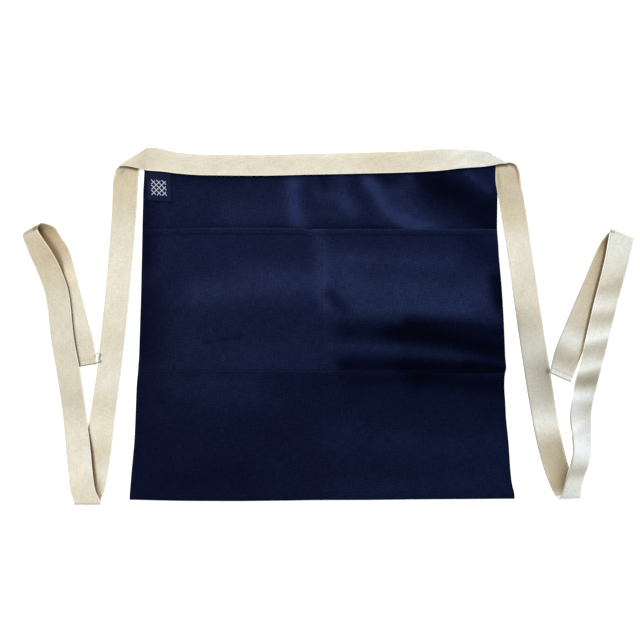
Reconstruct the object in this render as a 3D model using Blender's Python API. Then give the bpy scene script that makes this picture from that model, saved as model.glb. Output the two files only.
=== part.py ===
"""A waist apron lying flat: a cotton canvas skirt with two pockets, a tape waistband, two folded ties and a label.

Metres, +Z up. It lies on the plane z = 0 with its front up. +Y points from the hem to the waistband, and the
left tie lies at -X. The design plane has x = 0 on the skirt's centre line and y = 0 at the hem. At the end the
whole apron is moved so that the origin is the bottom centre of its box.
"""

import math
from collections import namedtuple

import bpy
from mathutils import Vector

# Skirt
TOP_WIDTH = 0.550
HEM_WIDTH = 0.600
SKIRT_LENGTH = 0.512
SKIRT_WALL = 0.001
RELIEF = 0.006

# Waistband, a tape folded over the skirt's top edge
BAND_WIDTH = 0.034
BAND_WALL = 0.001
BAND_INSET_LEFT = 0.003
BAND_INSET_RIGHT = 0.016
SKIRT_TUCK = 0.026
BAND_RAMP = 0.018

# Ties, the same tape sewn double
TAPE_WIDTH = 0.040
TAPE_WALL = 0.0016
TIE_LENGTH = 1.190
LOOP_HEIGHT = 0.022

# Pocket sheet
YOKE_DEPTH = 0.090
POCKET_DEPTH = 0.224
POCKET_WALL = 0.001
POCKET_SLACK = 0.0075
DIVIDER_OFFSET = 0.003

# Label
LABEL_WIDTH = 0.038
LABEL_HEIGHT = 0.044
LABEL_WALL = 0.001
LABEL_INSET = 0.003
LABEL_DROP = 0.003
LABEL_TURN = 4.0

# Clearance between neighbours that touch
GAP = 0.0003

# How finely the sheets are cut
SKIRT_COLUMNS = 36
SKIRT_ROWS = 28
POCKET_COLUMNS = 12
POCKET_ROWS = 12
BAND_COLUMNS = 34
TIE_STEP = 0.022
FOLD_STEPS = 8

# The skirt's sides. down: share of SKIRT_LENGTH below the band. left, right: share of the flare on one side.
Side = namedtuple("Side", "down left right")
SIDES = (
    Side(0.00, 0.00, 0.00),
    Side(0.11, 0.12, 0.06),
    Side(0.22, 0.18, 0.12),
    Side(0.37, 0.24, 0.36),
    Side(0.48, 0.30, 0.48),
    Side(0.59, 0.36, 0.54),
    Side(0.66, 0.48, 0.52),
    Side(0.81, 0.60, 0.73),
    Side(0.92, 0.79, 0.88),
    Side(1.00, 0.91, 1.09),
)

# The band's lower edge. along: share of TOP_WIDTH from the left. rise, height: shares of BAND_WIDTH.
BandSection = namedtuple("BandSection", "along rise height")
BAND = (
    BandSection(0.00, 0.09, 1.06),
    BandSection(0.05, 0.03, 1.04),
    BandSection(0.10, -0.07, 0.98),
    BandSection(0.17, -0.14, 0.97),
    BandSection(0.33, -0.16, 0.97),
    BandSection(0.45, -0.12, 0.98),
    BandSection(0.60, -0.07, 0.98),
    BandSection(0.73, -0.02, 0.98),
    BandSection(0.84, 0.07, 1.01),
    BandSection(0.90, 0.18, 0.88),
    BandSection(0.96, 0.25, 0.76),
    BandSection(1.00, 0.31, 0.68),
)

# Soft folds of the skirt. x0, x1: share of TOP_WIDTH from the centre. y0, y1: share of SKIRT_LENGTH below the
# band. spread: share of TOP_WIDTH to each side of the fold's line. height: share of RELIEF.
Fold = namedtuple("Fold", "x0 y0 x1 y1 spread height")
SKIRT_FOLDS = (
    Fold(-0.07, 0.05, -0.07, 0.14, 0.055, 0.6),
    Fold(0.14, 0.05, 0.24, 0.14, 0.050, 1.0),
    Fold(0.43, 0.05, 0.46, 0.09, 0.035, 0.4),
    Fold(0.16, 0.74, 0.44, 0.77, 0.070, 0.7),
    Fold(-0.40, 0.78, -0.12, 0.75, 0.080, 0.5),
    Fold(-0.02, 0.88, 0.30, 0.92, 0.070, 0.4),
)

# How far the pocket cloth stands off the skirt. down: share of POCKET_DEPTH below the mouth. left, right: share
# of POCKET_SLACK at the middle of each pocket.
Slack = namedtuple("Slack", "down left right")
POCKET_SLACKS = (
    Slack(0.00, 0.82, 0.82),
    Slack(0.17, 0.84, 0.84),
    Slack(0.38, 1.00, 1.00),
    Slack(0.55, 0.86, 0.80),
    Slack(0.68, 0.62, 0.38),
    Slack(0.82, 0.50, 0.62),
    Slack(0.93, 0.24, 0.26),
    Slack(1.00, 0.00, 0.00),
)

# Lines across a tie, from the waistband to its end. down: share of TIE_LENGTH from the band's lower edge to the
# line's middle. skew: how much lower the outer end lies, inner, outer: how far each end lies out from the skirt's
# side, all as shares of TAPE_WIDTH. layer: tapes below. inner_lift, outer_lift: shares of LOOP_HEIGHT. A crease
# is where the tape turns back on itself.
Line = namedtuple("Line", "down skew inner outer layer inner_lift outer_lift crease")
LEFT_TIE = (
    Line(-0.020, 0.74, -0.03, 1.12, 0, 0.00, 0.00, True),
    Line(-0.003, 0.45, 0.14, 1.23, 0, 0.00, 0.00, False),
    Line(0.011, 0.20, 0.22, 1.23, 0, 0.00, 0.00, False),
    Line(0.043, 0.00, 0.23, 1.21, 0, 0.00, 0.00, False),
    Line(0.096, 0.00, 0.30, 1.28, 0, 0.03, 0.00, False),
    Line(0.175, 0.00, 0.47, 1.44, 0, 0.00, 0.03, False),
    Line(0.254, 0.00, 0.66, 1.63, 0, 0.00, 0.00, False),
    Line(0.317, 0.00, 0.79, 1.77, 0, 0.00, 0.00, False),
    Line(0.380, 0.00, 0.90, 1.88, 0, 0.00, 0.00, False),
    Line(0.417, 0.00, 1.05, 2.04, 0, 0.00, 0.00, False),
    Line(0.437, 0.00, 1.20, 2.21, 0, 0.00, 0.00, True),
    Line(0.419, -0.04, 1.37, 2.38, 1, 0.20, 0.10, False),
    Line(0.394, -0.08, 1.54, 2.52, 1, 0.25, 0.00, False),
    Line(0.365, -0.04, 1.70, 2.68, 1, 0.30, 0.00, False),
    Line(0.317, 0.00, 1.96, 2.88, 1, 0.35, 0.00, False),
    Line(0.256, 0.04, 2.33, 3.26, 1, 0.38, 0.00, False),
    Line(0.220, 0.08, 2.56, 3.47, 1, 0.42, 0.00, False),
    Line(0.162, 0.16, 2.81, 3.72, 1, 0.46, 0.00, False),
    Line(0.126, 0.20, 3.21, 4.10, 1, 0.60, 0.04, False),
    Line(0.105, 0.25, 3.58, 4.38, 1, 0.70, 0.06, False),
    Line(0.088, 0.17, 3.91, 4.60, 1, 0.76, 0.06, False),
    Line(0.079, 0.29, 4.09, 4.69, 1, 0.62, 0.05, False),
    Line(0.074, 0.43, 3.93, 4.71, 1, 0.38, 0.02, False),
    Line(0.078, 0.36, 3.44, 4.58, 0, 0.12, 0.01, False),
    Line(0.090, 0.29, 3.16, 4.22, 0, 0.00, 0.00, False),
    Line(0.104, 0.29, 2.87, 3.88, 0, 0.00, 0.00, False),
    Line(0.151, 0.27, 2.43, 3.40, 0, 0.00, 0.00, False),
    Line(0.201, 0.22, 2.00, 2.97, 0, 0.00, 0.00, False),
    Line(0.228, 0.16, 1.77, 2.76, 0, 0.00, 0.00, False),
    Line(0.255, 0.16, 1.65, 2.64, 0, 0.00, 0.00, False),
)
RIGHT_TIE = (
    Line(-0.015, 0.81, -0.37, 0.95, 0, 0.00, 0.00, True),
    Line(-0.008, 0.70, -0.10, 0.99, 0, 0.00, 0.00, False),
    Line(0.001, 0.59, 0.09, 1.03, 0, 0.00, 0.00, False),
    Line(0.013, 0.35, 0.09, 1.06, 0, 0.00, 0.00, False),
    Line(0.036, -0.04, 0.12, 1.13, 0, 0.00, 0.00, False),
    Line(0.095, -0.04, 0.31, 1.31, 0, 0.00, 0.03, False),
    Line(0.174, -0.08, 0.49, 1.48, 0, 0.03, 0.00, False),
    Line(0.252, -0.12, 0.75, 1.75, 0, 0.00, 0.00, False),
    Line(0.330, -0.16, 1.06, 2.05, 0, 0.00, 0.00, False),
    Line(0.377, -0.20, 1.29, 2.25, 0, 0.00, 0.00, False),
    Line(0.405, -0.23, 1.51, 2.42, 0, 0.00, 0.00, False),
    Line(0.424, -0.14, 1.70, 2.58, 0, 0.10, 0.06, False),
    Line(0.429, -0.05, 1.80, 2.64, 1, 0.30, 0.14, False),
    Line(0.421, -0.12, 1.95, 2.71, 1, 0.60, 0.14, False),
    Line(0.403, -0.08, 2.17, 2.89, 1, 0.80, 0.06, False),
    Line(0.382, 0.04, 2.44, 3.14, 1, 0.84, 0.00, False),
    Line(0.366, 0.00, 2.55, 3.25, 1, 0.80, 0.00, False),
    Line(0.344, -0.04, 2.53, 3.29, 1, 0.72, 0.00, False),
    Line(0.320, -0.08, 2.53, 3.36, 1, 0.62, 0.00, False),
    Line(0.284, -0.08, 2.73, 3.63, 1, 0.50, 0.00, False),
    Line(0.237, -0.08, 3.07, 3.98, 1, 0.45, 0.00, False),
    Line(0.174, -0.08, 3.58, 4.52, 1, 0.40, 0.00, False),
    Line(0.111, -0.08, 4.19, 5.17, 1, 0.25, 0.00, False),
    Line(0.081, 0.36, 4.46, 5.37, 0, 0.00, 0.00, True),
    Line(0.102, 0.38, 3.94, 4.88, 0, 0.00, 0.00, False),
    Line(0.150, 0.38, 3.24, 4.18, 0, 0.00, 0.00, False),
    Line(0.197, 0.38, 2.56, 3.50, 0, 0.00, 0.00, False),
    Line(0.245, 0.39, 1.99, 2.90, 0, 0.00, 0.00, False),
    Line(0.271, 0.38, 1.84, 2.62, 0, 0.00, 0.00, False),
)


def slopes_of(knots, values):
    """Slopes for a smooth curve through the values that never overshoots them."""
    rates = [
        (values[i + 1] - values[i]) / (knots[i + 1] - knots[i])
        for i in range(len(knots) - 1)
    ]
    slopes = [rates[0]]
    for before, after in zip(rates, rates[1:]):
        turns = before * after <= 0
        slopes.append(0.0 if turns else 2 * before * after / (before + after))
    slopes.append(rates[-1])
    return slopes


def curve_at(knots, values, at):
    """The smooth curve's value, held level past its two ends."""
    at = min(max(at, knots[0]), knots[-1])
    i = max(k for k in range(len(knots) - 1) if knots[k] <= at)
    slopes = slopes_of(knots, values)
    span = knots[i + 1] - knots[i]
    t = (at - knots[i]) / span
    start = (1 + 2 * t) * (1 - t) ** 2 * values[i] + t * (1 - t) ** 2 * span * slopes[i]
    end = t * t * (3 - 2 * t) * values[i + 1] - t * t * (1 - t) * span * slopes[i + 1]
    return start + end


def read_table(table, column, at):
    """One column of a table, at a place between its rows."""
    return curve_at([row[0] for row in table], [getattr(row, column) for row in table], at)


def side_at(side, y):
    """How far the skirt's left (-1) or right (1) edge lies from its centre line, at height y."""
    flare = (HEM_WIDTH - TOP_WIDTH) / 2
    column = "left" if side < 0 else "right"
    return TOP_WIDTH / 2 + flare * read_table(SIDES, column, 1 - y / SKIRT_LENGTH)


def band_edge(along):
    """Height of the band's lower edge, at a share of the top width from the left."""
    return SKIRT_LENGTH + BAND_WIDTH * read_table(BAND, "rise", along)


def band_height(along):
    return BAND_WIDTH * read_table(BAND, "height", along)


def smooth_step(t):
    t = min(max(t, 0.0), 1.0)
    return t * t * (3 - 2 * t)


def fold_height(fold, x, y):
    """What one soft fold adds to the skirt's height at a point."""
    start = Vector((fold.x0 * TOP_WIDTH, SKIRT_LENGTH * (1 - fold.y0)))
    end = Vector((fold.x1 * TOP_WIDTH, SKIRT_LENGTH * (1 - fold.y1)))
    run = end - start
    t = min(max((Vector((x, y)) - start).dot(run) / run.dot(run), 0.0), 1.0)
    distance = (Vector((x, y)) - start - run * t).length
    return RELIEF * fold.height * smooth_step(1 - distance / (fold.spread * TOP_WIDTH))


def skirt_height(x, y):
    """Height of the skirt's underside: its soft folds, and the rise over the waistband's back leaf."""
    along = x / TOP_WIDTH + 0.5
    folds = sum(fold_height(fold, x, y) for fold in SKIRT_FOLDS)
    near_band = min(max(1 - (band_edge(along) - y) / BAND_RAMP, 0.0), 1.0)
    return folds * (1 - near_band) + near_band * (BAND_WALL + GAP)


def sheet(name, grid, wall, material):
    """A sheet of the given wall around a grid of points on its middle surface."""
    columns = len(grid[0])
    points = [point for row in grid for point in row]
    faces = [
        (r * columns + c, r * columns + c + 1, (r + 1) * columns + c + 1, (r + 1) * columns + c)
        for r in range(len(grid) - 1)
        for c in range(columns - 1)
    ]
    mesh = bpy.data.meshes.new(name)
    mesh.from_pydata(points, [], faces)
    mesh.materials.append(material)
    mesh.shade_smooth()
    obj = bpy.data.objects.new(name, mesh)
    bpy.context.scene.collection.objects.link(obj)
    thick = obj.modifiers.new("wall", "SOLIDIFY")
    thick.thickness = wall
    thick.offset = 0
    thick.use_even_offset = False
    return obj


def cloth_material(name, colour, roughness):
    material = bpy.data.materials.new(name)
    material.use_nodes = True
    shader = material.node_tree.nodes["Principled BSDF"]
    shader.inputs["Base Color"].default_value = (*colour, 1)
    shader.inputs["Roughness"].default_value = roughness
    shader.inputs["Metallic"].default_value = 0
    return material


def skirt_panel(material):
    """The skirt, from its hem up into the waistband, where its corners are cut back clear of the ties."""
    heights = [r / SKIRT_ROWS * (SKIRT_LENGTH - BAND_RAMP) for r in range(SKIRT_ROWS)]
    grid = []
    for height in heights:
        row = []
        for c in range(SKIRT_COLUMNS + 1):
            share = c / SKIRT_COLUMNS
            y = height * (band_edge(share) - BAND_RAMP) / (SKIRT_LENGTH - BAND_RAMP)
            row.append(skirt_point(share, y))
        grid.append(row)
    for above_band in (-1.0, 0.0, 0.5, 1.0):
        row = []
        for c in range(SKIRT_COLUMNS + 1):
            share = c / SKIRT_COLUMNS
            ends = min(share * TOP_WIDTH / BAND_INSET_LEFT, (1 - share) * TOP_WIDTH / BAND_INSET_RIGHT)
            tuck = SKIRT_TUCK * (0.05 + 0.95 * smooth_step(ends - 1) * band_height(share) / band_height(0))
            step = BAND_RAMP if above_band < 0 else tuck
            row.append(skirt_point(share, band_edge(share) + above_band * step))
        grid.append(row)
    return sheet("skirt_panel", grid, SKIRT_WALL, material)


def skirt_point(share, y):
    left = -side_at(-1, y)
    x = left + share * (side_at(1, y) - left)
    return (x, y, skirt_height(x, y) + SKIRT_WALL / 2)


def waistband(material):
    """The tape's back leaf, its fold along the top and its front leaf, with the skirt's edge between them."""
    first = BAND_INSET_LEFT / TOP_WIDTH
    last = 1 - BAND_INSET_RIGHT / TOP_WIDTH
    back = BAND_WALL / 2
    front = BAND_WALL * 1.5 + SKIRT_WALL + 2 * GAP
    radius = (front - back) / 2
    grid = []
    for c in range(BAND_COLUMNS + 1):
        along = first + (last - first) * c / BAND_COLUMNS
        x = (along - 0.5) * TOP_WIDTH
        low = band_edge(along)
        centre = low + band_height(along) - radius - BAND_WALL / 2
        row = [(x, low + (centre - low) * t, back) for t in (0.0, 0.35, 0.7)]
        for step in range(FOLD_STEPS + 1):
            turn = math.pi * step / FOLD_STEPS
            row.append((x, centre + radius * math.sin(turn), back + radius * (1 - math.cos(turn))))
        row += [(x, low + (centre - low) * t, front) for t in (0.7, 0.35, 0.0)]
        grid.append(row)
    return sheet("waistband", grid, BAND_WALL, material)


def pocket_point(share, down):
    """A point of the pocket cloth's middle surface, at a share of the width and of the depth below the mouth."""
    y = SKIRT_LENGTH - YOKE_DEPTH - down * POCKET_DEPTH
    x = -side_at(-1, y) + share * (side_at(1, y) + side_at(-1, y))
    divider = (side_at(-1, y) + DIVIDER_OFFSET) / (side_at(1, y) + side_at(-1, y))
    on_left = share < divider
    across = share / divider if on_left else (share - divider) / (1 - divider)
    slack = POCKET_SLACK * read_table(POCKET_SLACKS, "left" if on_left else "right", down)
    stand_off = slack * math.sqrt(max(math.sin(math.pi * across), 0.0))
    return (x, y, skirt_height(x, y) + SKIRT_WALL + GAP + stand_off + POCKET_WALL / 2)


def pocket_panel(material):
    """The pocket cloth, held down at the sides, the bottom seam and the dividing seam, and slack between them."""
    middle = SKIRT_LENGTH - YOKE_DEPTH
    divider = (side_at(-1, middle) + DIVIDER_OFFSET) / (side_at(1, middle) + side_at(-1, middle))
    shares = [divider * c / POCKET_COLUMNS for c in range(POCKET_COLUMNS)]
    shares += [divider + (1 - divider) * c / POCKET_COLUMNS for c in range(POCKET_COLUMNS + 1)]
    grid = [
        [pocket_point(share, 1 - r / POCKET_ROWS) for share in shares]
        for r in range(POCKET_ROWS + 1)
    ]
    return sheet("pocket_panel", grid, POCKET_WALL, material)


def label(material):
    """The woven label, sewn flat on the skirt under the band's left end and turned a little."""
    turn = math.radians(-LABEL_TURN)
    left = -TOP_WIDTH / 2 + LABEL_INSET
    top = band_edge(LABEL_INSET / TOP_WIDTH) - LABEL_DROP
    grid = []
    for r in range(5):
        row = []
        for c in range(4):
            across = LABEL_WIDTH * c / 3
            down = LABEL_HEIGHT * (1 - r / 4)
            x = left + across * math.cos(turn) - down * math.sin(turn) * 0.5
            y = top + across * math.sin(turn) - down * math.cos(turn)
            row.append((x, y, skirt_height(x, y) + SKIRT_WALL + GAP + LABEL_WALL / 2))
        grid.append(row)
    return sheet("label", grid, LABEL_WALL, material)


def tie_ends(side, line):
    """The two ends of one line across a tie, on the tape's middle surface."""
    y = SKIRT_LENGTH - line.down * TIE_LENGTH
    edge = side_at(side, min(max(y, 0.0), SKIRT_LENGTH))
    floor = TAPE_WALL / 2 + line.layer * (TAPE_WALL + GAP)
    half_skew = line.skew * TAPE_WIDTH / 2
    inner = Vector((side * (edge + line.inner * TAPE_WIDTH), y + half_skew, floor + line.inner_lift * LOOP_HEIGHT))
    outer = Vector((side * (edge + line.outer * TAPE_WIDTH), y - half_skew, floor + line.outer_lift * LOOP_HEIGHT))
    return inner, outer


def crease_lines(before, crease, after):
    """Lines round a crease, half a turn from the height of the line before to that of the line after."""
    away = (crease[1] - crease[0]).cross(Vector((0, 0, 1))).normalized()
    if away.dot(crease[0] + crease[1] - after[0] - after[1]) < 0:
        away = -away
    lines = []
    for step in range(FOLD_STEPS + 1):
        turn = math.pi * step / FOLD_STEPS
        ends = []
        for end in (0, 1):
            rise = after[end].z - before[end].z
            point = crease[end] + away * (math.sin(turn) - 1) * abs(rise) / 2
            point.z = before[end].z + rise * (1 - math.cos(turn)) / 2
            ends.append(point)
        lines.append(tuple(ends))
    return lines


def smooth_lines(lines, firm):
    """More lines between the given ones, on smooth curves. The lines in firm already follow a crease."""
    knots = [0.0]
    for a, b in zip(lines, lines[1:]):
        knots.append(knots[-1] + max(((b[0] + b[1]) / 2 - (a[0] + a[1]) / 2).length, TAPE_WALL / 10))
    tracks = [[line[end][axis] for line in lines] for end in (0, 1) for axis in range(3)]
    grid = []
    for i, line in enumerate(lines):
        grid.append(line)
        if i + 1 == len(lines) or (i in firm and i + 1 in firm):
            continue
        pieces = max(1, round((knots[i + 1] - knots[i]) / TIE_STEP))
        for piece in range(1, pieces):
            at = knots[i] + (knots[i + 1] - knots[i]) * piece / pieces
            values = [curve_at(knots, track, at) for track in tracks]
            grid.append((Vector(values[:3]), Vector(values[3:])))
    return grid


def tie(name, side, table, material):
    """One tie: it leaves the waistband's end, folds under and follows the lines of its table."""
    along = BAND_INSET_LEFT / TOP_WIDTH if side < 0 else 1 - BAND_INSET_RIGHT / TOP_WIDTH
    x = (along - 0.5) * TOP_WIDTH + side * GAP
    z = BAND_WALL + SKIRT_WALL + 2 * GAP + TAPE_WALL / 2
    low = band_edge(along)
    lines = [(Vector((x, low + band_height(along), z)), Vector((x, low, z)))]
    firm = set()
    ends = [tie_ends(side, line) for line in table]
    for i, line in enumerate(table):
        if line.crease:
            first = len(lines)
            lines += crease_lines(lines[-1], ends[i], ends[i + 1])
            firm |= set(range(first, len(lines)))
        else:
            lines.append(ends[i])
    grid = []
    for inner, outer in smooth_lines(lines, firm):
        row = [inner, (inner + outer) / 2, outer]
        grid.append(row if side > 0 else row[::-1])
    return sheet(name, grid, TAPE_WALL, material)


def stand_on_origin(pieces):
    """Moves the apron so that the origin is the bottom centre of its box."""
    bpy.context.view_layer.update()
    graph = bpy.context.evaluated_depsgraph_get()
    corners = [Vector(corner) for piece in pieces for corner in piece.evaluated_get(graph).bound_box]
    low = [min(corner[axis] for corner in corners) for axis in range(3)]
    high = [max(corner[axis] for corner in corners) for axis in range(3)]
    for piece in pieces:
        piece.location = (-(low[0] + high[0]) / 2, -(low[1] + high[1]) / 2, -low[2])


def main():
    for obj in list(bpy.data.objects):
        bpy.data.objects.remove(obj)
    canvas = cloth_material("navy_canvas", (0.012, 0.017, 0.05), 0.9)
    pocket_canvas = cloth_material("navy_pocket_canvas", (0.013, 0.018, 0.055), 0.9)
    band_tape = cloth_material("cream_band_tape", (0.74, 0.69, 0.56), 0.9)
    left_tape = cloth_material("cream_left_tape", (0.73, 0.67, 0.52), 0.9)
    right_tape = cloth_material("cream_right_tape", (0.70, 0.66, 0.55), 0.9)
    woven = cloth_material("navy_label_weave", (0.015, 0.02, 0.09), 0.8)
    pieces = [
        skirt_panel(canvas),
        pocket_panel(pocket_canvas),
        waistband(band_tape),
        tie("left_tie", -1, LEFT_TIE, left_tape),
        tie("right_tie", 1, RIGHT_TIE, right_tape),
        label(woven),
    ]
    stand_on_origin(pieces)


main()
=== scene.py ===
"""The looks of a waist apron lying flat: navy canvas skirt and pocket, cream tape band and ties, a label.

Metres, +Z up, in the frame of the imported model. The design plane has x = 0 on the skirt's centre line and
y = 0 at its hem, with +Y towards the waistband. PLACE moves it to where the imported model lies.
"""

import math
from collections import namedtuple

import bpy
import numpy as np
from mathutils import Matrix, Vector


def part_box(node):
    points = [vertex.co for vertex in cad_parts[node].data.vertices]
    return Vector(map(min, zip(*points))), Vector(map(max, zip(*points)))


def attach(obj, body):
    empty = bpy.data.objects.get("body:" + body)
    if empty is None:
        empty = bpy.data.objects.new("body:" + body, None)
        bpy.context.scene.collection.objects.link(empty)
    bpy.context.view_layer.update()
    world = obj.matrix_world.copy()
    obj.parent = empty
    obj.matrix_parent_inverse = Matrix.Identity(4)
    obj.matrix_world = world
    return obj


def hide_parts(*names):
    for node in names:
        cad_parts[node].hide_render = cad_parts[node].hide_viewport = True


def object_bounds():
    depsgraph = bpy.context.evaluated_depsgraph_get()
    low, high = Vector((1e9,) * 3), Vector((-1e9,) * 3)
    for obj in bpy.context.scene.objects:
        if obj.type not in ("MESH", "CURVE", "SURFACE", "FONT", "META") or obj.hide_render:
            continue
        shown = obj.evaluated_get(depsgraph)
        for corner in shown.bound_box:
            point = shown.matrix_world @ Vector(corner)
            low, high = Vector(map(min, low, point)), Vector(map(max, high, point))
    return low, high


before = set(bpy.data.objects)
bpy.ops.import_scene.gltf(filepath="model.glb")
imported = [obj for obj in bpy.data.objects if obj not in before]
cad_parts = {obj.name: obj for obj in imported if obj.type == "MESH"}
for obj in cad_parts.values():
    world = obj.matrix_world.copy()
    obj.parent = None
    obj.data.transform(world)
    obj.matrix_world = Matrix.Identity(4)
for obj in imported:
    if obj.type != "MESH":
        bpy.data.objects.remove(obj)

CAD_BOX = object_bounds()
MM = 0.001


def table(columns, *rows):
    """Rows of numbers with named columns."""
    kind = namedtuple("Row", columns)
    return [kind(*row) for row in rows]


# The apron's own sizes
TOP_WIDTH = 0.550
HEM_WIDTH = 0.600
SKIRT_LENGTH = 0.512
SKIRT_WALL = 0.001
RELIEF = 0.006
BAND_WIDTH = 0.034
BAND_WALL = 0.001
BAND_INSET_LEFT = 0.003
BAND_INSET_RIGHT = 0.016
SKIRT_TUCK = 0.026
BAND_RAMP = 0.018
TAPE_WIDTH = 0.040
TAPE_WALL = 0.0016
TIE_LENGTH = 1.190
LOOP_HEIGHT = 0.022
YOKE_DEPTH = 0.090
POCKET_DEPTH = 0.224
POCKET_WALL = 0.001
POCKET_SLACK = 0.0075
DIVIDER_OFFSET = 0.003
LABEL_WIDTH = 0.038
LABEL_HEIGHT = 0.044
LABEL_WALL = 0.001
LABEL_INSET = 0.003
LABEL_DROP = 0.003
LABEL_TURN = 4.0
GAP = 0.0003
FOLD_STEPS = 8
FLARE = (HEM_WIDTH - TOP_WIDTH) / 2
POCKET_MOUTH = SKIRT_LENGTH - YOKE_DEPTH
POCKET_BOTTOM = POCKET_MOUTH - POCKET_DEPTH
BAND_START = BAND_INSET_LEFT / TOP_WIDTH
BAND_END = 1 - BAND_INSET_RIGHT / TOP_WIDTH
FRONT_LEVEL = BAND_WALL * 1.5 + SKIRT_WALL + 2 * GAP
FOLD_ROUND = 0.004

# The mouth's bow up on the left half, its lift right of that, the dividing seam's share of its width, and
# how far and wide the seam draws it down
MOUTH_BOW = 0.003
MOUTH_LIFT = 0.0010
DIVIDER_SHARE = 0.472
MOUTH_DRAWN = (0.0022, 0.006)

# How far past the pocket the skirt's side hems stay flat, and the ramp over which they rise. How far the
# pocket's bottom is pressed down, and the strip above it that slopes there.
HEM_FLAT_PAST = 0.008
HEM_FLAT_RAMP = 0.006
PRESSED_DOWN = 0.0006
PRESSED_STRIP = 0.005

# Steps of the grids, distances of extra grid lines from the edges, and shares up the band's two leaves
SHEET_STEP = 0.0042
POCKET_STEP = 0.0034
TIE_STEP = 0.0022
JOINT_STEP = 0.00004
NEAR_SIDE = [0.0008, 0.002, 0.004, 0.006, 0.007, 0.008, 0.009, 0.0105, 0.013]
NEAR_HEM = [0.0008, 0.002, 0.005, 0.009, 0.0115, 0.0125, 0.0135, 0.0155, 0.018]
NEAR_POCKET_SIDE = [0.0008, 0.002, 0.004, 0.007, 0.010]
NEAR_MOUTH = [0.0008, 0.0016, 0.003, 0.005, 0.0075, 0.0085, 0.0095, 0.0105, 0.012]
BACK_LEAF = (0.0, 0.03, 0.35, 0.7, 0.9)
FRONT_LEAF = (0.93, 0.85, 0.75, 0.64, 0.52, 0.4, 0.28, 0.18, 0.115, 0.085, 0.06, 0.035, 0.012, 0.0)

# Sewing
SIDE_HEM = 0.009
BOTTOM_HEM = 0.014
MOUTH_HEM = 0.0105
SEAM_INSET = 0.0035
SEAM_IN_HEM = 0.002
HEM_RISE = 0.0005
HEM_SLOPE = 0.0024
SEAM_DIP = 0.0003
SEAM_RISE = HEM_RISE - SEAM_DIP
SEAM_GROOVE = (SEAM_DIP, 0.0014)
HEM_GROOVE = (SEAM_DIP, 0.0011)
STITCH_LENGTH = 0.0026
STITCH_PITCH = 0.0034
STITCH_RADIUS = 0.00028
STITCH_LIFT = 0.35
STITCH_FLATTEN = 1.25
TAPE_EDGE = 0.0022

# The tape's thickness near its edge: its share at the very edge and the rounding's width, the swell with its
# place, and the groove of the row of stitches
EDGE_FULL = 0.45
EDGE_ROUND = 0.0007
EDGE_SWELL_AT = 0.0012
EDGE_SWELL = (0.20, 0.0008)
EDGE_GROOVE = (0.22, 0.0006)

# Tape colour before its mottling, what its painted shadows are multiplied by, how much cooler painted light
# and a painted-shade outline look, and how pale and cool the painted highlight on the rims is, with its
# place and width
TAPE_COLOUR = (0.750, 0.738, 0.607)
TAPE_SHADOW_BROWN = (0.29, 0.19, 0.10)
LIGHT_COOLS = 0.35
OUTLINE_COOLS = 1.5
RIM_HIGHLIGHT = 1.5
RIM_HIGHLIGHT_COOL = 0.5
RIM_PLACE = 0.0004
RIM_WIDTH = 0.0010

# Painted highlights in stripes along the band: how pale, how far above its lower edge, and how wide
BAND_HIGHLIGHTS = ((0.40, 0.0, 0.011), (0.9, 0.0, 0.0018), (0.25, 0.0315, 0.003))

# The band's puckers: waves to the metre times 2 pi, where each wave starts, and its share of the height
PUCKER_WAVES = ((262, 1.1, 0.5), (171, 0.4, 0.6), (97, 2.0, 0.5))
PUCKER_HEIGHT = 0.00042

# The label's woven lattice, and the small waves of its ribbon
LATTICE_SIZE = 0.025
LATTICE_LINES = 2
LABEL_WAVE = 0.00018
LABEL_GROOVE_AT = 0.002
LABEL_GROOVE = (0.0002, 0.0008)

# Painted shade in strips of the navy cloth, how dark and how wide: a painted shadow under the band, painted
# shade just above the pocket's mouth and in its hem's seam, and a darker strip along the skirt's sides and
# bottom
BELOW_BAND = (1.3, 0.0030)
ABOVE_MOUTH = (0.27, 0.0032)
MOUTH_SEAM = (0.27, 0.0016)
ALONG_EDGE = (0.8, 0.0014)

# Painted light in strips of it: along the pocket's bottom, and a painted highlight on its mouth's hem, less
# pale at the left end and over the ramp
POCKET_FOOT = (0.12, 0.0022)
LIT_MOUTH_LEFT = 0.12
LIT_MOUTH = 0.64
LIT_MOUTH_WIDTH = 0.0016
LIT_MOUTH_START = -0.28
LIT_MOUTH_RAMP = 0.15

# The navy cloth from its dark places to its pale ones, mostly its painted shade and painted light, and how
# pale the skirt and the pocket are
NAVY_COLOURS = (
    (0.0002, 0.0003, 0.0026), (0.0012, 0.0019, 0.0094), (0.0038, 0.0060, 0.0235), (0.0105, 0.0150, 0.0470),
    (0.0210, 0.0330, 0.1000),
)
SKIRT_PALE = 0.066
POCKET_PALE = 0.09

# Camera, straight above the middle of the photograph
VIEW_WIDTH = 1.0027
VIEW_CENTRE = (0.0, 0.2804)
CAMERA_HEIGHT = 1.5
SENSOR_WIDTH = 36.0

# Studio: half the floor's width, how far it lies below the apron, and the surroundings' light
FLOOR_REACH = 6.0
FLOOR_DROP = 0.0004
WORLD_LIGHT = 0.36

# The skirt's sides. down: share of SKIRT_LENGTH below the band. left, right: share of FLARE.
SIDES = table(
    "down left right",
    (0, 0, 0), (0.11, 0.12, 0.06), (0.22, 0.18, 0.12), (0.37, 0.24, 0.36), (0.48, 0.3, 0.48),
    (0.59, 0.36, 0.54), (0.66, 0.48, 0.52), (0.81, 0.6, 0.73), (0.92, 0.79, 0.88), (1, 0.91, 1.09),
)

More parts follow.
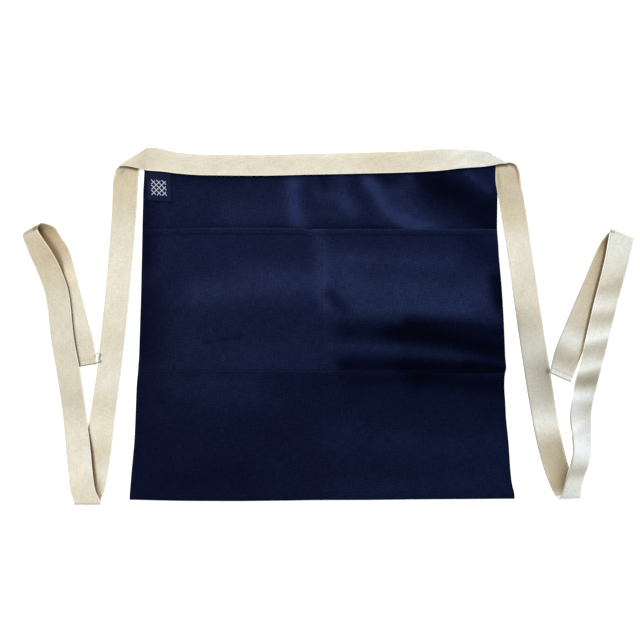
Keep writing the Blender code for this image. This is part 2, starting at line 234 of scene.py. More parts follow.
# How far the sewn edges wander out from those sides, in millimetres
WANDERS = table(
    "down left right",
    (0, 0.3, 0.3), (0.05, 0.3, 2.3), (0.1, -0.4, 1.5), (0.18, -0.6, 0.3), (0.22, -0.7, 1.3),
    (0.38, -0.5, 1.4), (0.56, 0.1, 1.8), (0.598, 0.7, 3.3), (0.62, 0.6, 1.3), (0.65, 0.5, 0.8),
    (0.7, 0.4, 1.6), (0.76, 0.5, 0.8), (0.85, 0.6, 1.8), (0.95, 0.8, 1.8), (0.985, 1, 3.4), (1, 0.6, 2.6),
)

# How far the hem hangs below its straight line. along: share of its width from the left. drop: millimetres.
HEM_SAG = table(
    "along drop",
    (0, 1.2), (0.07, 2.2), (0.15, 3.1), (0.27, 3.4), (0.4, 2.7), (0.48, 1.9), (0.62, 1.6), (0.75, 0.7),
    (0.9, 0.1), (1, -0.4),
)

# The band's lower edge. along: share of TOP_WIDTH from the left. rise, height: shares of BAND_WIDTH.
BAND = table(
    "along rise height",
    (0, 0.09, 1.06), (0.025, 0.06, 1.085), (0.05, 0.03, 1.05), (0.1, -0.07, 0.98), (0.17, -0.14, 0.97),
    (0.33, -0.16, 0.97), (0.45, -0.12, 0.98), (0.6, -0.07, 0.98), (0.73, -0.02, 0.98), (0.84, 0.07, 1.01),
    (0.9, 0.18, 0.88), (0.96, 0.25, 0.765), (0.975, 0.27, 0.69), (1, 0.31, 0.55),
)

# Soft folds of the skirt. x0, x1: share of TOP_WIDTH from the centre. y0, y1: share of SKIRT_LENGTH below
# the band. spread: share of TOP_WIDTH to each side of the fold's line. height: share of RELIEF.
SKIRT_FOLDS = table(
    "x0 y0 x1 y1 spread height",
    (-0.07, 0.05, -0.07, 0.14, 0.055, 0.6), (0.14, 0.05, 0.24, 0.14, 0.05, 1),
    (0.43, 0.05, 0.46, 0.09, 0.035, 0.4), (0.16, 0.74, 0.44, 0.77, 0.07, 0.7),
    (-0.4, 0.78, -0.12, 0.75, 0.08, 0.5), (-0.02, 0.88, 0.3, 0.92, 0.07, 0.4),
)

# Painted light and shade of the navy cloth's folds, on a line from x0, y0 past x1, y1 to x2, y2: millimetres
# right of the centre line and below the band. spread: millimetres to each side. pale: how much painted light
# (above 0) or painted shade (below 0) lies there.
SKIRT_PAINTED_SHADING = table(
    "x0 y0 x1 y1 x2 y2 spread pale",
    (-42, 14, -42, 50, -32, 88, 20, 0.95), (-142, 62, -110, 66, -78, 62, 25, 0.45),
    (-114, 6, -113, 12, -112, 20, 8, 0.25), (4, 36, 28, 42, 52, 58, 19, 0.5),
    (5, 2, 6, 12, 8, 26, 8, -0.45), (31, 6, 37, 30, 42, 50, 13, 0.35), (57, 2, 58, 12, 60, 22, 7, -0.4),
    (74, 6, 104, 60, 146, 90, 17, 1.12), (118, 30, 140, 60, 170, 84, 22, 0.5),
    (-10, 66, 20, 64, 50, 66, 12, 0.22), (70, 4, 92, 8, 116, 14, 10, -0.5),
    (138, 84, 165, 86, 190, 88, 12, 0.5), (141, 2, 142, 10, 146, 22, 8, 0.45),
    (232, 2, 248, 12, 264, 26, 9, 0.6), (158, 10, 188, 16, 218, 26, 22, -0.6),
    (236, 70, 252, 78, 272, 86, 12, -0.5), (-78, 4, -60, 8, -36, 8, 10, -0.3),
    (186, 30, 226, 44, 270, 60, 33, -1), (-240, 4, -180, 8, -100, 6, 13, -0.3),
    (-272, 20, -272, 60, -272, 96, 17, -0.5), (-80, 87, 60, 87, 130, 87, 7, -0.3),
    (-250, 334, -185, 340, -110, 344, 30, 0.32), (60, 352, 150, 362, 290, 366, 36, -0.2),
    (-190, 322, -150, 326, -110, 326, 14, 0.15), (-264, 318, -258, 330, -252, 350, 14, -0.25),
    (0, 328, 70, 330, 150, 330, 14, -0.25), (150, 320, 220, 326, 284, 334, 20, -0.9),
    (40, 316, 110, 320, 170, 322, 14, -0.35), (40, 412, 170, 424, 280, 430, 42, 0.27),
    (30, 494, 150, 492, 276, 488, 30, 0.3), (-276, 340, -276, 430, -278, 512, 26, -0.15),
    (-230, 478, -180, 484, -120, 480, 40, -0.25),
)
POCKET_PAINTED_SHADING = table(
    "x0 y0 x1 y1 x2 y2 spread pale",
    (-4, 90, 4, 150, 8, 206, 16, 0.5), (50, 186, 157, 190, 250, 198, 46, 0.62),
    (236, 108, 262, 128, 288, 148, 20, -0.38), (14, 190, 24, 203, 38, 214, 11, -0.75),
    (20, 132, 120, 138, 205, 142, 20, 0.42), (-120, 150, -40, 154, 40, 160, 26, 0.22),
    (20, 214, 130, 216, 230, 218, 12, 0.25), (40, 248, 157, 254, 284, 276, 19, -0.75),
    (140, 236, 210, 240, 294, 254, 16, -0.95), (110, 252, 200, 262, 288, 284, 18, -0.95),
    (14, 272, 70, 273, 120, 275, 8, 0.22), (150, 284, 220, 290, 282, 304, 9, 0.12),
    (38, 301, 172, 302, 292, 316, 16, -1.05), (130, 308, 200, 314, 292, 326, 14, -0.7),
    (232, 302, 262, 308, 296, 316, 13, -1), (-190, 190, -100, 180, -14, 176, 32, 0.55),
    (-180, 266, -152, 262, -126, 258, 5, -0.35), (-215, 262, -150, 284, -40, 292, 30, 0.14),
    (-235, 302, -150, 304, -60, 304, 14, 0.05), (-274, 96, -272, 116, -273, 140, 19, -0.8),
    (-276, 196, -274, 240, -274, 285, 34, -0.7), (284, 170, 288, 220, 292, 250, 10, -0.5),
    (275, 168, 277, 186, 281, 204, 14, -1.15),
)

# How far the pocket cloth stands off the skirt. down: share of POCKET_DEPTH below the mouth. left, right:
# share of POCKET_SLACK at the middle of each pocket.
POCKET_SLACKS = table(
    "down left right",
    (0, 0.66, 0.66), (0.17, 0.72, 0.74), (0.38, 0.92, 0.92), (0.5, 0.88, 1), (0.58, 0.76, 1),
    (0.68, 0.6, 0.7), (0.75, 0.48, 0.42), (0.79, 0.41, 0.38), (0.87, 0.27, 0.5), (0.94, 0.13, 0.24),
    (1, 0, 0),
)

# Lines across a tie, from the waistband to its end. down: share of TIE_LENGTH from the band's lower edge to
# the line's middle. skew: how much lower the outer end lies, inner, outer: how far each end lies out from
# the skirt's side, all as shares of TAPE_WIDTH. layer: tapes below. inner_lift, outer_lift: shares of
# LOOP_HEIGHT.
LEFT_TIE = table(
    "down skew inner outer layer inner_lift outer_lift",
    (-0.0192, 0.74, -0.03, 0.5, 1, 0.03, 0.12), (-0.0198, 0.69, -0.03, 0.8, 1, 0.03, 0.12),
    (-0.0198, 0.65, -0.03, 1.03, 0, 0, 0.05), (-0.0113, 0.42, 0, 1.127, 0, 0, 0.03),
    (-0.003, 0.44, 0.13, 1.19, 0, 0, 0), (0.011, 0.2, 0.22, 1.23, 0, 0, 0), (0.043, 0, 0.23, 1.21, 0, 0, 0),
    (0.096, 0, 0.3, 1.28, 0, 0.03, 0), (0.175, 0, 0.47, 1.44, 0, 0, 0.03), (0.254, 0, 0.66, 1.63, 0, 0, 0),
    (0.317, 0, 0.79, 1.79, 0, 0, 0), (0.38, 0, 0.9, 1.93, 0, 0, 0), (0.417, 0, 1, 2.04, 0, 0, 0),
    (0.437, 0, 1.17, 2.21, 0, 0, 0), (0.419, -0.04, 1.37, 2.38, 1, 0.2, 0.1),
    (0.394, -0.08, 1.54, 2.52, 1, 0.25, 0), (0.365, -0.04, 1.7, 2.68, 1, 0.2, 0),
    (0.317, 0, 1.96, 2.88, 1, 0.18, 0), (0.256, 0.04, 2.33, 3.26, 1, 0.18, 0),
    (0.22, 0.08, 2.56, 3.47, 1, 0.2, 0), (0.162, 0.16, 2.81, 3.72, 1, 0.22, 0),
    (0.126, 0.2, 3.21, 4.1, 1, 0.42, 0.04), (0.105, 0.25, 3.58, 4.38, 1, 0.7, 0.06),
    (0.088, 0.17, 3.91, 4.6, 1, 0.76, 0.06), (0.079, 0.29, 4.09, 4.69, 1, 0.62, 0.05),
    (0.074, 0.43, 3.93, 4.71, 1, 0.38, 0.02), (0.078, 0.36, 3.44, 4.58, 0, 0.12, 0.01),
    (0.09, 0.29, 3.16, 4.22, 0, 0, 0), (0.104, 0.29, 2.87, 3.88, 0, 0, 0),
    (0.151, 0.27, 2.43, 3.4, 0, 0, 0), (0.201, 0.22, 2, 2.97, 0, 0, 0), (0.228, 0.16, 1.77, 2.76, 0, 0, 0),
    (0.255, 0.16, 1.65, 2.64, 0, 0, 0),
)
RIGHT_TIE = table(
    "down skew inner outer layer inner_lift outer_lift",
    (-0.0184, 0.53, -0.362, -0.02, 1, 0.03, 0.1), (-0.0193, 0.48, -0.345, 0.22, 1, 0.03, 0.12),
    (-0.0198, 0.44, -0.325, 0.43, 1, 0.03, 0.13), (-0.0122, -0.05, -0.333, 0.588, 0, 0, 0.06),
    (-0.011, -0.07, -0.255, 0.732, 0, 0, 0.06), (-0.009, -0.02, -0.157, 0.85, 0, 0, 0.05),
    (-0.0059, 0.09, -0.059, 0.92, 0, 0, 0.04), (-0.0007, 0.13, -0.012, 0.96, 0, 0, 0.02),
    (0.013, 0.12, -0.01, 0.99, 0, 0, 0), (0.036, -0.04, 0.09, 1.09, 0, 0, 0),
    (0.095, -0.04, 0.31, 1.31, 0, 0, 0.03), (0.174, -0.08, 0.49, 1.48, 0, 0.03, 0),
    (0.252, -0.12, 0.75, 1.75, 0, 0, 0), (0.33, -0.16, 1.06, 2.05, 0, 0, 0),
    (0.377, -0.2, 1.29, 2.25, 0, 0, 0), (0.405, -0.23, 1.51, 2.42, 0, 0, 0),
    (0.424, -0.14, 1.7, 2.58, 0, 0.1, 0.06), (0.429, -0.05, 1.8, 2.64, 1, 0.3, 0.14),
    (0.421, -0.12, 1.95, 2.71, 1, 0.6, 0.14), (0.403, -0.08, 2.17, 2.89, 1, 0.8, 0.06),
    (0.382, 0.04, 2.44, 3.14, 1, 0.84, 0), (0.366, 0, 2.55, 3.25, 1, 0.8, 0),
    (0.344, -0.04, 2.53, 3.29, 1, 0.72, 0), (0.32, -0.08, 2.53, 3.36, 1, 0.62, 0),
    (0.284, -0.08, 2.73, 3.63, 1, 0.5, 0), (0.237, -0.08, 3.07, 3.98, 1, 0.45, 0),
    (0.174, -0.08, 3.58, 4.52, 1, 0.4, 0), (0.111, -0.08, 4.19, 5.17, 1, 0.25, 0),
    (0.081, 0.36, 4.46, 5.37, 0, 0, 0), (0.088, 0.37, 4.3, 5.2, 0, 0, 0),
    (0.102, 0.38, 3.98, 4.88, 0, 0, 0), (0.15, 0.38, 3.24, 4.18, 0, 0, 0),
    (0.197, 0.38, 2.56, 3.5, 0, 0, 0), (0.245, 0.39, 1.96, 2.9, 0, 0, 0),
    (0.2705, 0.37, 1.79, 2.62, 0, 0, 0),
)

# Places across a tape near its edges, the last of them past its row of stitches
NEAR_EDGE = (0.0, 0.0005, 0.0013, TAPE_EDGE, 0.0033)
SEAM_PLACE = NEAR_EDGE.index(TAPE_EDGE)
TAPE_COLUMNS = 26
END_HEM = 0.009
END_HEM_FULL = 0.35

# Painted shade across a tie's end, in its hem's fold and along the cut edge: how brown, how far from the
# end, and how wide
END_SHADES = ((0.24, END_HEM, 0.0008), (0.8, 0.0, 0.0009))

# The tape's colour along it, as shares of its length. light: painted light and shade, about twenty levels of
# brightness. warm: how much yellower than the tape's own colour.
BAND_TONES = table(
    "along light warm",
    (0, -0.7, 0), (0.08, -0.1, -0.1), (0.2, -0.1, 0), (0.6, 0.1, 0), (0.68, -0.3, 0.1), (0.8, -0.1, 0.1),
    (0.86, 0, -0.2), (0.93, 0.5, -0.4), (1, 0.1, -0.5),
)
LEFT_TONES = table(
    "along light warm",
    (0, -0.7, 0), (0.02, -0.3, 0), (0.05, -0.8, 0.5), (0.08, -0.6, 0.2), (0.11, -0.1, 0), (0.17, 0.5, 0.1),
    (0.22, 0.3, 0.1), (0.25, 0, 0.1), (0.3, 0.5, -0.1), (0.33, 0, 0.1), (0.36, 0.6, 0.2), (0.39, 0, 0.2),
    (0.42, 0.9, 0.2), (0.45, 0.3, 0.3), (0.51, 0.7, 0), (0.54, 0.5, 0), (0.59, -0.5, 0), (0.64, -0.2, 0),
    (0.69, -0.2, 0), (0.74, -0.6, 0.2), (0.77, -0.8, 0.4), (0.8, -0.8, 0.2), (0.82, -1.4, 0.7),
    (0.85, -0.8, 0.7), (0.87, -0.2, 0.3), (0.9, 0.3, 0.2), (0.94, 0.4, 0.1), (0.97, 0, 0.1), (1, -0.2, 0.1),
)
RIGHT_TONES = table(
    "along light warm",
    (0, 0.3, -0.5), (0.025, 0.2, -0.4), (0.045, -1, 0.4), (0.07, -1, 0.2), (0.1, -0.5, 0.3), (0.13, 0.5, 0),
    (0.2, 0.1, 0), (0.23, -0.9, -0.4), (0.26, -0.5, -0.6), (0.295, -1.6, -0.7), (0.33, -1.1, -0.7),
    (0.36, 0.8, -0.4), (0.39, -1.5, -0.1), (0.42, -1.9, 0), (0.44, -2.5, 0.2), (0.46, 1.3, -0.4),
    (0.48, 1.7, -0.4), (0.495, -0.1, -0.4), (0.52, 2.7, -0.4), (0.55, 1.6, -0.5), (0.573, 0.1, -0.6),
    (0.592, 1.3, -0.6), (0.61, -2.1, -0.4), (0.63, 1.3, -0.4), (0.65, -0.6, -0.3), (0.67, 1.8, -0.3),
    (0.69, -0.4, -0.1), (0.71, 1.2, -0.2), (0.73, -0.5, -0.1), (0.76, 0.7, -0.2), (0.8, 1, -0.4),
    (0.82, -2.6, 0.9), (0.84, -0.8, 0.3), (0.88, -0.6, 0.1), (0.93, -0.5, -0.3), (0.95, 0.6, -0.5),
    (0.975, -1.5, -0.6), (1, 1, -0.8),
)

# Painted shading across the tape, along it. lean: painted light and shade, how much lighter the edge towards
# the
# skirt is than the middle. outline: painted shade, how dark the rim of that edge is.
LEFT_EDGINGS = table(
    "along lean outline",
    (0, 0, 0), (1, 0, 0),
)
RIGHT_EDGINGS = table(
    "along lean outline",
    (0, 0, 0), (0.05, 0, 0.2), (0.17, 0.2, 0.1), (0.2, -0.2, 0.5), (0.236, -0.5, 0.8), (0.27, 0.1, 0.8),
    (0.302, 0.8, 0.9), (0.34, 0.3, 0.8), (0.368, 0.3, 0.9), (0.4, 0.9, 0.6), (0.43, 1.4, 0.4),
    (0.455, 0.6, 0.3), (0.48, 0.1, 0.9), (0.51, 0.1, 0.9), (0.533, 0.5, 1), (0.56, 0.7, 0.9),
    (0.586, 1, 0.4), (0.61, 0.5, 0), (0.68, 0.3, 0), (0.72, 0.4, 0), (0.8, 0, 0), (0.86, 0, 0.3),
    (1, 0, 0.8),
)
OUTLINE_WIDTH = 0.0019

# Cross ripples of a tie. along: share of its length. height: millimetres. length: millimetres along the
# tape. slant: how much further along the ripple lies at the outer edge, in tape widths.
LEFT_RIPPLES = table(
    "along height length slant",
    (0.075, 0.5, 16, 0.3), (0.13, 0.6, 20, -0.2), (0.215, 0.5, 18, 0.2), (0.3, 0.5, 20, 0.1),
    (0.52, 0.9, 12, 0.4), (0.575, 0.8, 14, 0.3), (0.64, 1, 15, -0.2), (0.7, 0.8, 18, 0.3),
    (0.9, 0.5, 14, 0.2), (0.95, 0.6, 12, -0.1),
)
RIGHT_RIPPLES = table(
    "along height length slant",
    (0.06, 0.5, 14, 0.4), (0.11, 0.7, 13, 0.6), (0.165, 0.6, 15, 0.3), (0.235, 0.7, 16, 0.3),
    (0.3, 0.6, 14, 0.2), (0.355, 0.7, 14, 0.2), (0.525, 2.2, 11, 0.2), (0.58, 1.8, 9, 0.5),
    (0.615, 2, 8, -0.2), (0.655, 2.2, 8, 0.2), (0.695, 2, 8, 0.2), (0.735, 2, 9, 0), (0.775, 1, 9, 0.2),
    (0.93, 0.5, 12, 0.2), (0.97, 0.6, 11, 0.3),
)

# Painted shadows beside the edge of the run above. along: share of that edge. width: millimetres of the dark
# strip, depth: how brown it is. haze: millimetres over which a softer painted shade fades out, and the last
# column: how brown that is.
LEFT_SHADOWS = table(
    "along width depth haze stain",
    (0, 6, 0.6, 6, 0.4), (0.1, 5.5, 0.9, 5, 0.4), (0.2, 4, 1, 4, 0.3), (0.27, 2.4, 1, 3, 0.2),
    (0.45, 2.2, 1, 3, 0.2), (0.72, 1.7, 1, 3, 0.3), (0.78, 2.2, 0.9, 3, 0.2), (0.82, 2.6, 0.85, 3, 0.2),
    (0.86, 7.5, 0.8, 8, 0.55), (0.9, 9, 0.8, 11, 0.65), (1, 8, 0.85, 18, 0.75),
)
RIGHT_SHADOWS = table(
    "along width depth haze stain",
    (0, 5, 0.5, 14, 0.5), (0.12, 2, 0.5, 8, 0.4), (0.35, 1.6, 0.8, 3, 0.2), (0.5, 3, 1, 5, 0.3),
    (0.7, 4.2, 1, 8, 0.4), (0.9, 4.6, 1, 11, 0.6), (1, 4.6, 1, 11, 0.7),
)

# The same under the waistband's lower edge and the fold next to it, from the waistband's end outwards
LEFT_CORNER_SHADOWS = table(
    "along width depth haze stain",
    (0, 4.5, 0.9, 6, 0.3), (0.45, 4.2, 0.9, 6, 0.4), (0.75, 2.4, 0.9, 9, 0.4), (1, 1.8, 0.8, 9, 0.3),
)
RIGHT_CORNER_SHADOWS = table(
    "along width depth haze stain",
    (0, 4.8, 1, 6, 0.3), (0.45, 4.6, 1, 6, 0.3), (0.62, 6.2, 1, 6, 0.3), (0.78, 5, 0.9, 6, 0.3),
    (1, 4, 0.7, 5, 0.3),
)
CORNER_REACH = 0.05
FOLD_REACH = 0.003

# Lines of a tie's table: the first fold's crease, the last line beside it, the ends of the lower run and of
# the upper run, and the creases, where the tape turns back on itself
LEFT_RUNS = (2, 3, 13, 24)
RIGHT_RUNS = (2, 8, 16, 28)
LEFT_CREASES = (2, 13)
RIGHT_CREASES = (2, 28)

# Rounded corners of the tape's outline: the corner and a place further along each of its two sides, in
# millimetres right of the centre line and above the waistband's line, and the radius.
TAPE_CORNERS = table(
    "x y before_x before_y after_x after_y radius",
    (-271.6, 39.6, -250.7, 38.6, -316.1, 10.8, 31), (-467.5, -97, -440, -80, -458, -125, 11),
    (-386.5, -521.5, -350, -521.5, -392, -480, 3), (407.5, -512, 385, -512, 414, -490, 3),
)

# Painted shadows as blots on a tie's lower run, in folds and under the run above: millimetres right of the
# centre line and below the band, turn in radians, length and width in millimetres, and how brown
LEFT_SHADOW_BLOTS = table(
    "x below turn length width depth",
    (-309, -1.5, 0.75, 9, 3.5, 0.45), (-346, 494, 1.45, 14, 5, 0.42),
)
RIGHT_SHADOW_BLOTS = table(
    "x below turn length width depth",
    (357.5, 311, 1.2, 5, 3, 0.9), (280, 12, -1.44, 22, 3.5, 0.3),
)

Tie = namedtuple("Tie", "lines runs creases ripples shadows corner_shadows tones spots edgings")
LEFT = Tie(
    LEFT_TIE, LEFT_RUNS, LEFT_CREASES, LEFT_RIPPLES, LEFT_SHADOWS, LEFT_CORNER_SHADOWS, LEFT_TONES,
    LEFT_SHADOW_BLOTS, LEFT_EDGINGS,
)
RIGHT = Tie(
    RIGHT_TIE, RIGHT_RUNS, RIGHT_CREASES, RIGHT_RIPPLES, RIGHT_SHADOWS, RIGHT_CORNER_SHADOWS, RIGHT_TONES,
    RIGHT_SHADOW_BLOTS, RIGHT_EDGINGS,
)

# A loose end of thread at the left tie's end, in millimetres right of the centre line and below the band
LOOSE_THREAD = ((-354, 290), (-349, 284), (-343, 286), (-347, 291), (-343, 296), (-349, 298), (-353, 302))


def slopes_of(knots, values):
    """Slopes for a smooth curve through the values that never overshoots them."""
    rates = np.diff(values) / np.diff(knots)
    before, after = rates[:-1], rates[1:]
    same_way = before * after > 0
    total = np.where(same_way, before + after, 1.0)
    middle = np.where(same_way, 2 * before * after / total, 0.0)
    return np.concatenate([rates[:1], middle, rates[-1:]])


def curve_at(knots, values, at):
    """The smooth curve's values, held level past its two ends."""
    knots = np.asarray(knots, float)
    values = np.asarray(values, float)
    at = np.clip(np.asarray(at, float), knots[0], knots[-1])
    i = np.clip(np.searchsorted(knots, at, side="right") - 1, 0, len(knots) - 2)
    slopes = slopes_of(knots, values)
    span = knots[i + 1] - knots[i]
    t = (at - knots[i]) / span
    start = (1 + 2 * t) * (1 - t) ** 2 * values[i] + t * (1 - t) ** 2 * span * slopes[i]
    end = t * t * (3 - 2 * t) * values[i + 1] - t * t * (1 - t) * span * slopes[i + 1]
    return start + end


def read_table(rows, column, at):
    """One column of a table, at places between its rows."""
    return curve_at([row[0] for row in rows], [getattr(row, column) for row in rows], at)


def smooth_step(t):
    """From 0 to 1 with level ends."""
    t = np.clip(t, 0.0, 1.0)
    return t * t * (3 - 2 * t)


def bell(distance, height, width):
    """A smooth swell: its full height at no distance, and falling off past its width."""
    return height * np.exp(-((distance / width) ** 2))


def of_side(rows, side, y):
    """The left (-1) or right (1) column of a table that goes down the skirt, at height y."""
    return read_table(rows, "left" if side < 0 else "right", 1 - np.asarray(y) / SKIRT_LENGTH)


def side_at(side, y):
    """How far the skirt's left (-1) or right (1) edge lies from its centre line, at height y."""
    return TOP_WIDTH / 2 + FLARE * of_side(SIDES, side, y)


def hem_at(side, y):
    """The same for the sewn edge of the skirt and pocket, with its wander."""
    return side_at(side, y) + MM * of_side(WANDERS, side, y)


def across_at(shares, y):
    """Shares of the sewn width at height y, as x of the design plane."""
    left = -hem_at(-1, y)
    return left + shares * (hem_at(1, y) - left)


def sag_at(along):
    """How far the hem hangs down, at a share of its width from the left."""
    return MM * read_table(HEM_SAG, "drop", along)


def band_edge(along):
    """Height of the band's lower edge, at a share of the top width from the left."""
    return SKIRT_LENGTH + BAND_WIDTH * read_table(BAND, "rise", along)


def band_height(along):
    """The band's width at the same place."""
    return BAND_WIDTH * read_table(BAND, "height", along)


def from_line(x, y, ends):
    """Distance of points from a line of straight stretches."""
    nearest = np.full(np.broadcast(x, y).shape, np.inf)
    for (x0, y0), (x1, y1) in zip(ends, ends[1:]):
        run_x, run_y = x1 - x0, y1 - y0
        t = np.clip(((x - x0) * run_x + (y - y0) * run_y) / (run_x**2 + run_y**2), 0, 1)
        nearest = np.minimum(nearest, np.hypot(x - x0 - run_x * t, y - y0 - run_y * t))
    return nearest


def painted_fold_shading(x, y, softs):
    """Painted light and shade of the cloth's folds at points of the design plane."""
    total = np.zeros(np.broadcast(x, y).shape)
    for soft in softs:
        ends = [
            (sx * MM, SKIRT_LENGTH - sy * MM)
            for sx, sy in ((soft.x0, soft.y0), (soft.x1, soft.y1), (soft.x2, soft.y2))
        ]
        distance = from_line(x, y, ends) / (soft.spread * MM)
        total = total + soft.pale * np.exp(-1.6 * distance**2)
    return total


def near_band(x, y):
    """From 0 at a ramp's length below the band to 1 at its edge and above."""
    return np.clip(1 - (band_edge(x / TOP_WIDTH + 0.5) - y) / BAND_RAMP, 0.0, 1.0)


def skirt_height(x, y):
    """Height of the skirt's underside: its soft folds, and the rise over the waistband's back leaf."""
    folds = 0.0
    for fold in SKIRT_FOLDS:
        start = (fold.x0 * TOP_WIDTH, SKIRT_LENGTH * (1 - fold.y0))
        end = (fold.x1 * TOP_WIDTH, SKIRT_LENGTH * (1 - fold.y1))
        distance = from_line(x, y, (start, end)) / (fold.spread * TOP_WIDTH)
        folds = folds + RELIEF * fold.height * smooth_step(1 - distance)
    band = near_band(x, y)
    return folds * (1 - band) + band * (BAND_WALL + GAP)


def pocket_share(x, y):
    """Share of the width at a point, and the dividing seam's share there."""
    width = side_at(1, y) + side_at(-1, y)
    return (x + side_at(-1, y)) / width, (side_at(-1, y) + DIVIDER_OFFSET) / width


def pocket_lift(x, y):
    """How far the pocket cloth's underside stands off the skirt's face."""
    share, divider = pocket_share(x, y)
    down = (POCKET_MOUTH - y) / POCKET_DEPTH
    on_left = share < divider
    across = np.clip(np.where(on_left, share / divider, (share - divider) / (1 - divider)), 0, 1)
    droop = 0.10 * smooth_step((across - 0.45) / 0.55)
    droop = droop * smooth_step(down / 0.6) * smooth_step((1 - down) / 0.12)
    left = read_table(POCKET_SLACKS, "left", down)
    right = read_table(POCKET_SLACKS, "right", down - droop)
    slack = POCKET_SLACK * np.where(on_left, left, right)
    fullness = np.sin(math.pi * across) ** 0.9
    return GAP + slack * fullness * smooth_step((1 - down) / 0.05 + 0.01)


def skirt_top(x, y):
    """Height of the skirt's face."""
    return skirt_height(x, y) + SKIRT_WALL


def pocket_top(x, y):
    """Height of the pocket's face."""
    return skirt_top(x, y) + pocket_lift(x, y) + POCKET_WALL


def spread_knots(length, step, near_ends):
    """Shares from 0 to 1 about a step apart, with extra ones at the given distances from both ends."""
    count = max(2, round(length / step))
    shares = [i / count for i in range(count + 1)]
    extra = [d / length for d in near_ends]
    kept = [s for s in shares if extra[-1] * 1.2 < s < 1 - extra[-1] * 1.2]
    return np.array([0.0] + extra + kept + [1 - e for e in reversed(extra)] + [1.0])


def place_of_design():
    """Where the design plane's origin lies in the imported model's frame."""
    low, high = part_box("skirt_panel")
    lean = FLARE * (SIDES[-1].right - SIDES[-1].left) / 2
    return Vector(((low.x + high.x) / 2 - lean, low.y, CAD_BOX[0].z))


PLACE = place_of_design()


def as_seen(points):
    """Pulls raised points towards the camera's axis, because the outlines were measured from its place."""
    points = np.array(points, float)
    nearer = 1 - points[..., 2:3] / CAMERA_HEIGHT
    centre = np.array(VIEW_CENTRE)
    points[..., :2] = centre + (points[..., :2] - centre) * nearer
    return points


def new_piece(name, points, faces, material, flat=None, attributes=None):
    """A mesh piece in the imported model's frame, riding on the one body."""
    mesh = bpy.data.meshes.new(name)
    moved = as_seen(points).reshape(-1, 3) + np.array(PLACE)
    moved[:, 2] = np.maximum(moved[:, 2], CAD_BOX[0].z)
    mesh.from_pydata([tuple(p) for p in moved], [], [tuple(f) for f in faces])
    mesh.materials.append(material)
    mesh.shade_smooth()
    if flat is not None:
        layer = mesh.uv_layers.new(name="cloth")
        index = np.empty(len(mesh.loops), np.int32)
        mesh.loops.foreach_get("vertex_index", index)
        layer.data.foreach_set("uv", flat.reshape(-1, 2)[index].astype(np.float32).ravel())
    for key, values in (attributes or {}).items():
        stored = mesh.attributes.new(key, "FLOAT", "POINT")
        stored.data.foreach_set("value", values.astype(np.float32).ravel())
    mesh.validate()
    obj = add_object(name, mesh)
    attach(obj, "root")
    return obj


def shell_faces(rows, columns):
    """Faces of a closed sheet whose first rows * columns points are its face and the next its back."""
    back = rows * columns
    at = np.arange(rows * columns).reshape(rows, columns)
    a, b, c, d = at[:-1, :-1], at[:-1, 1:], at[1:, 1:], at[1:, :-1]
    face = np.stack([a, b, c, d], -1).reshape(-1, 4)
    faces = [face, face[:, ::-1] + back]
    rim = np.concatenate([at[0, :], at[1:, -1], at[-1, -2::-1], at[-2:0:-1, 0]])
    following = np.roll(rim, -1)
    faces.append(np.stack([following, rim, rim + back, following + back], -1))
    return np.concatenate(faces)


def shell(name, face, back, material, flat, attributes=None):
    """A closed sheet of cloth between two grids of points."""
    rows, columns = face.shape[:2]
    points = np.concatenate([face.reshape(-1, 3), back.reshape(-1, 3)])
    both = {key: np.concatenate([v.ravel(), v.ravel()]) for key, v in (attributes or {}).items()}
    flats = np.concatenate([flat.reshape(-1, 2), flat.reshape(-1, 2)])
    return new_piece(name, points, shell_faces(rows, columns), material, flats, both)


def normals_of(grid):
    """Unit normals of a grid of points."""
    along = np.gradient(grid, axis=0)
    across = np.gradient(grid, axis=1)
    normals = np.cross(across, along)
    return normals / np.maximum(np.linalg.norm(normals, axis=-1, keepdims=True), 1e-12)


def from_edges(shares, length):
    """Distance of each share of a length from the nearer end."""
    return np.minimum(shares, 1 - shares) * length


def lay_sheet(x, y, low, wall, rise):
    """Face and back grids of a sheet that lies flat, with a rounded rim."""
    rim = np.zeros(x.shape)
    rim[0, :] = rim[-1, :] = 1
    rim[:, 0] = rim[:, -1] = 1
    face = np.stack([x, y, low + wall + rise - 0.35 * (wall + rise) * rim], -1)
    back = np.stack([x, y, low + 0.25 * wall * rim], -1)
    return face, back


def hem_rise(distance, width):
    """A turned hem stands a little higher, and its row of stitches dips into it."""
    turned = HEM_RISE * smooth_step((width + HEM_SLOPE / 2 - distance) / HEM_SLOPE)
    return turned - bell(distance - width + SEAM_IN_HEM, *HEM_GROOVE)


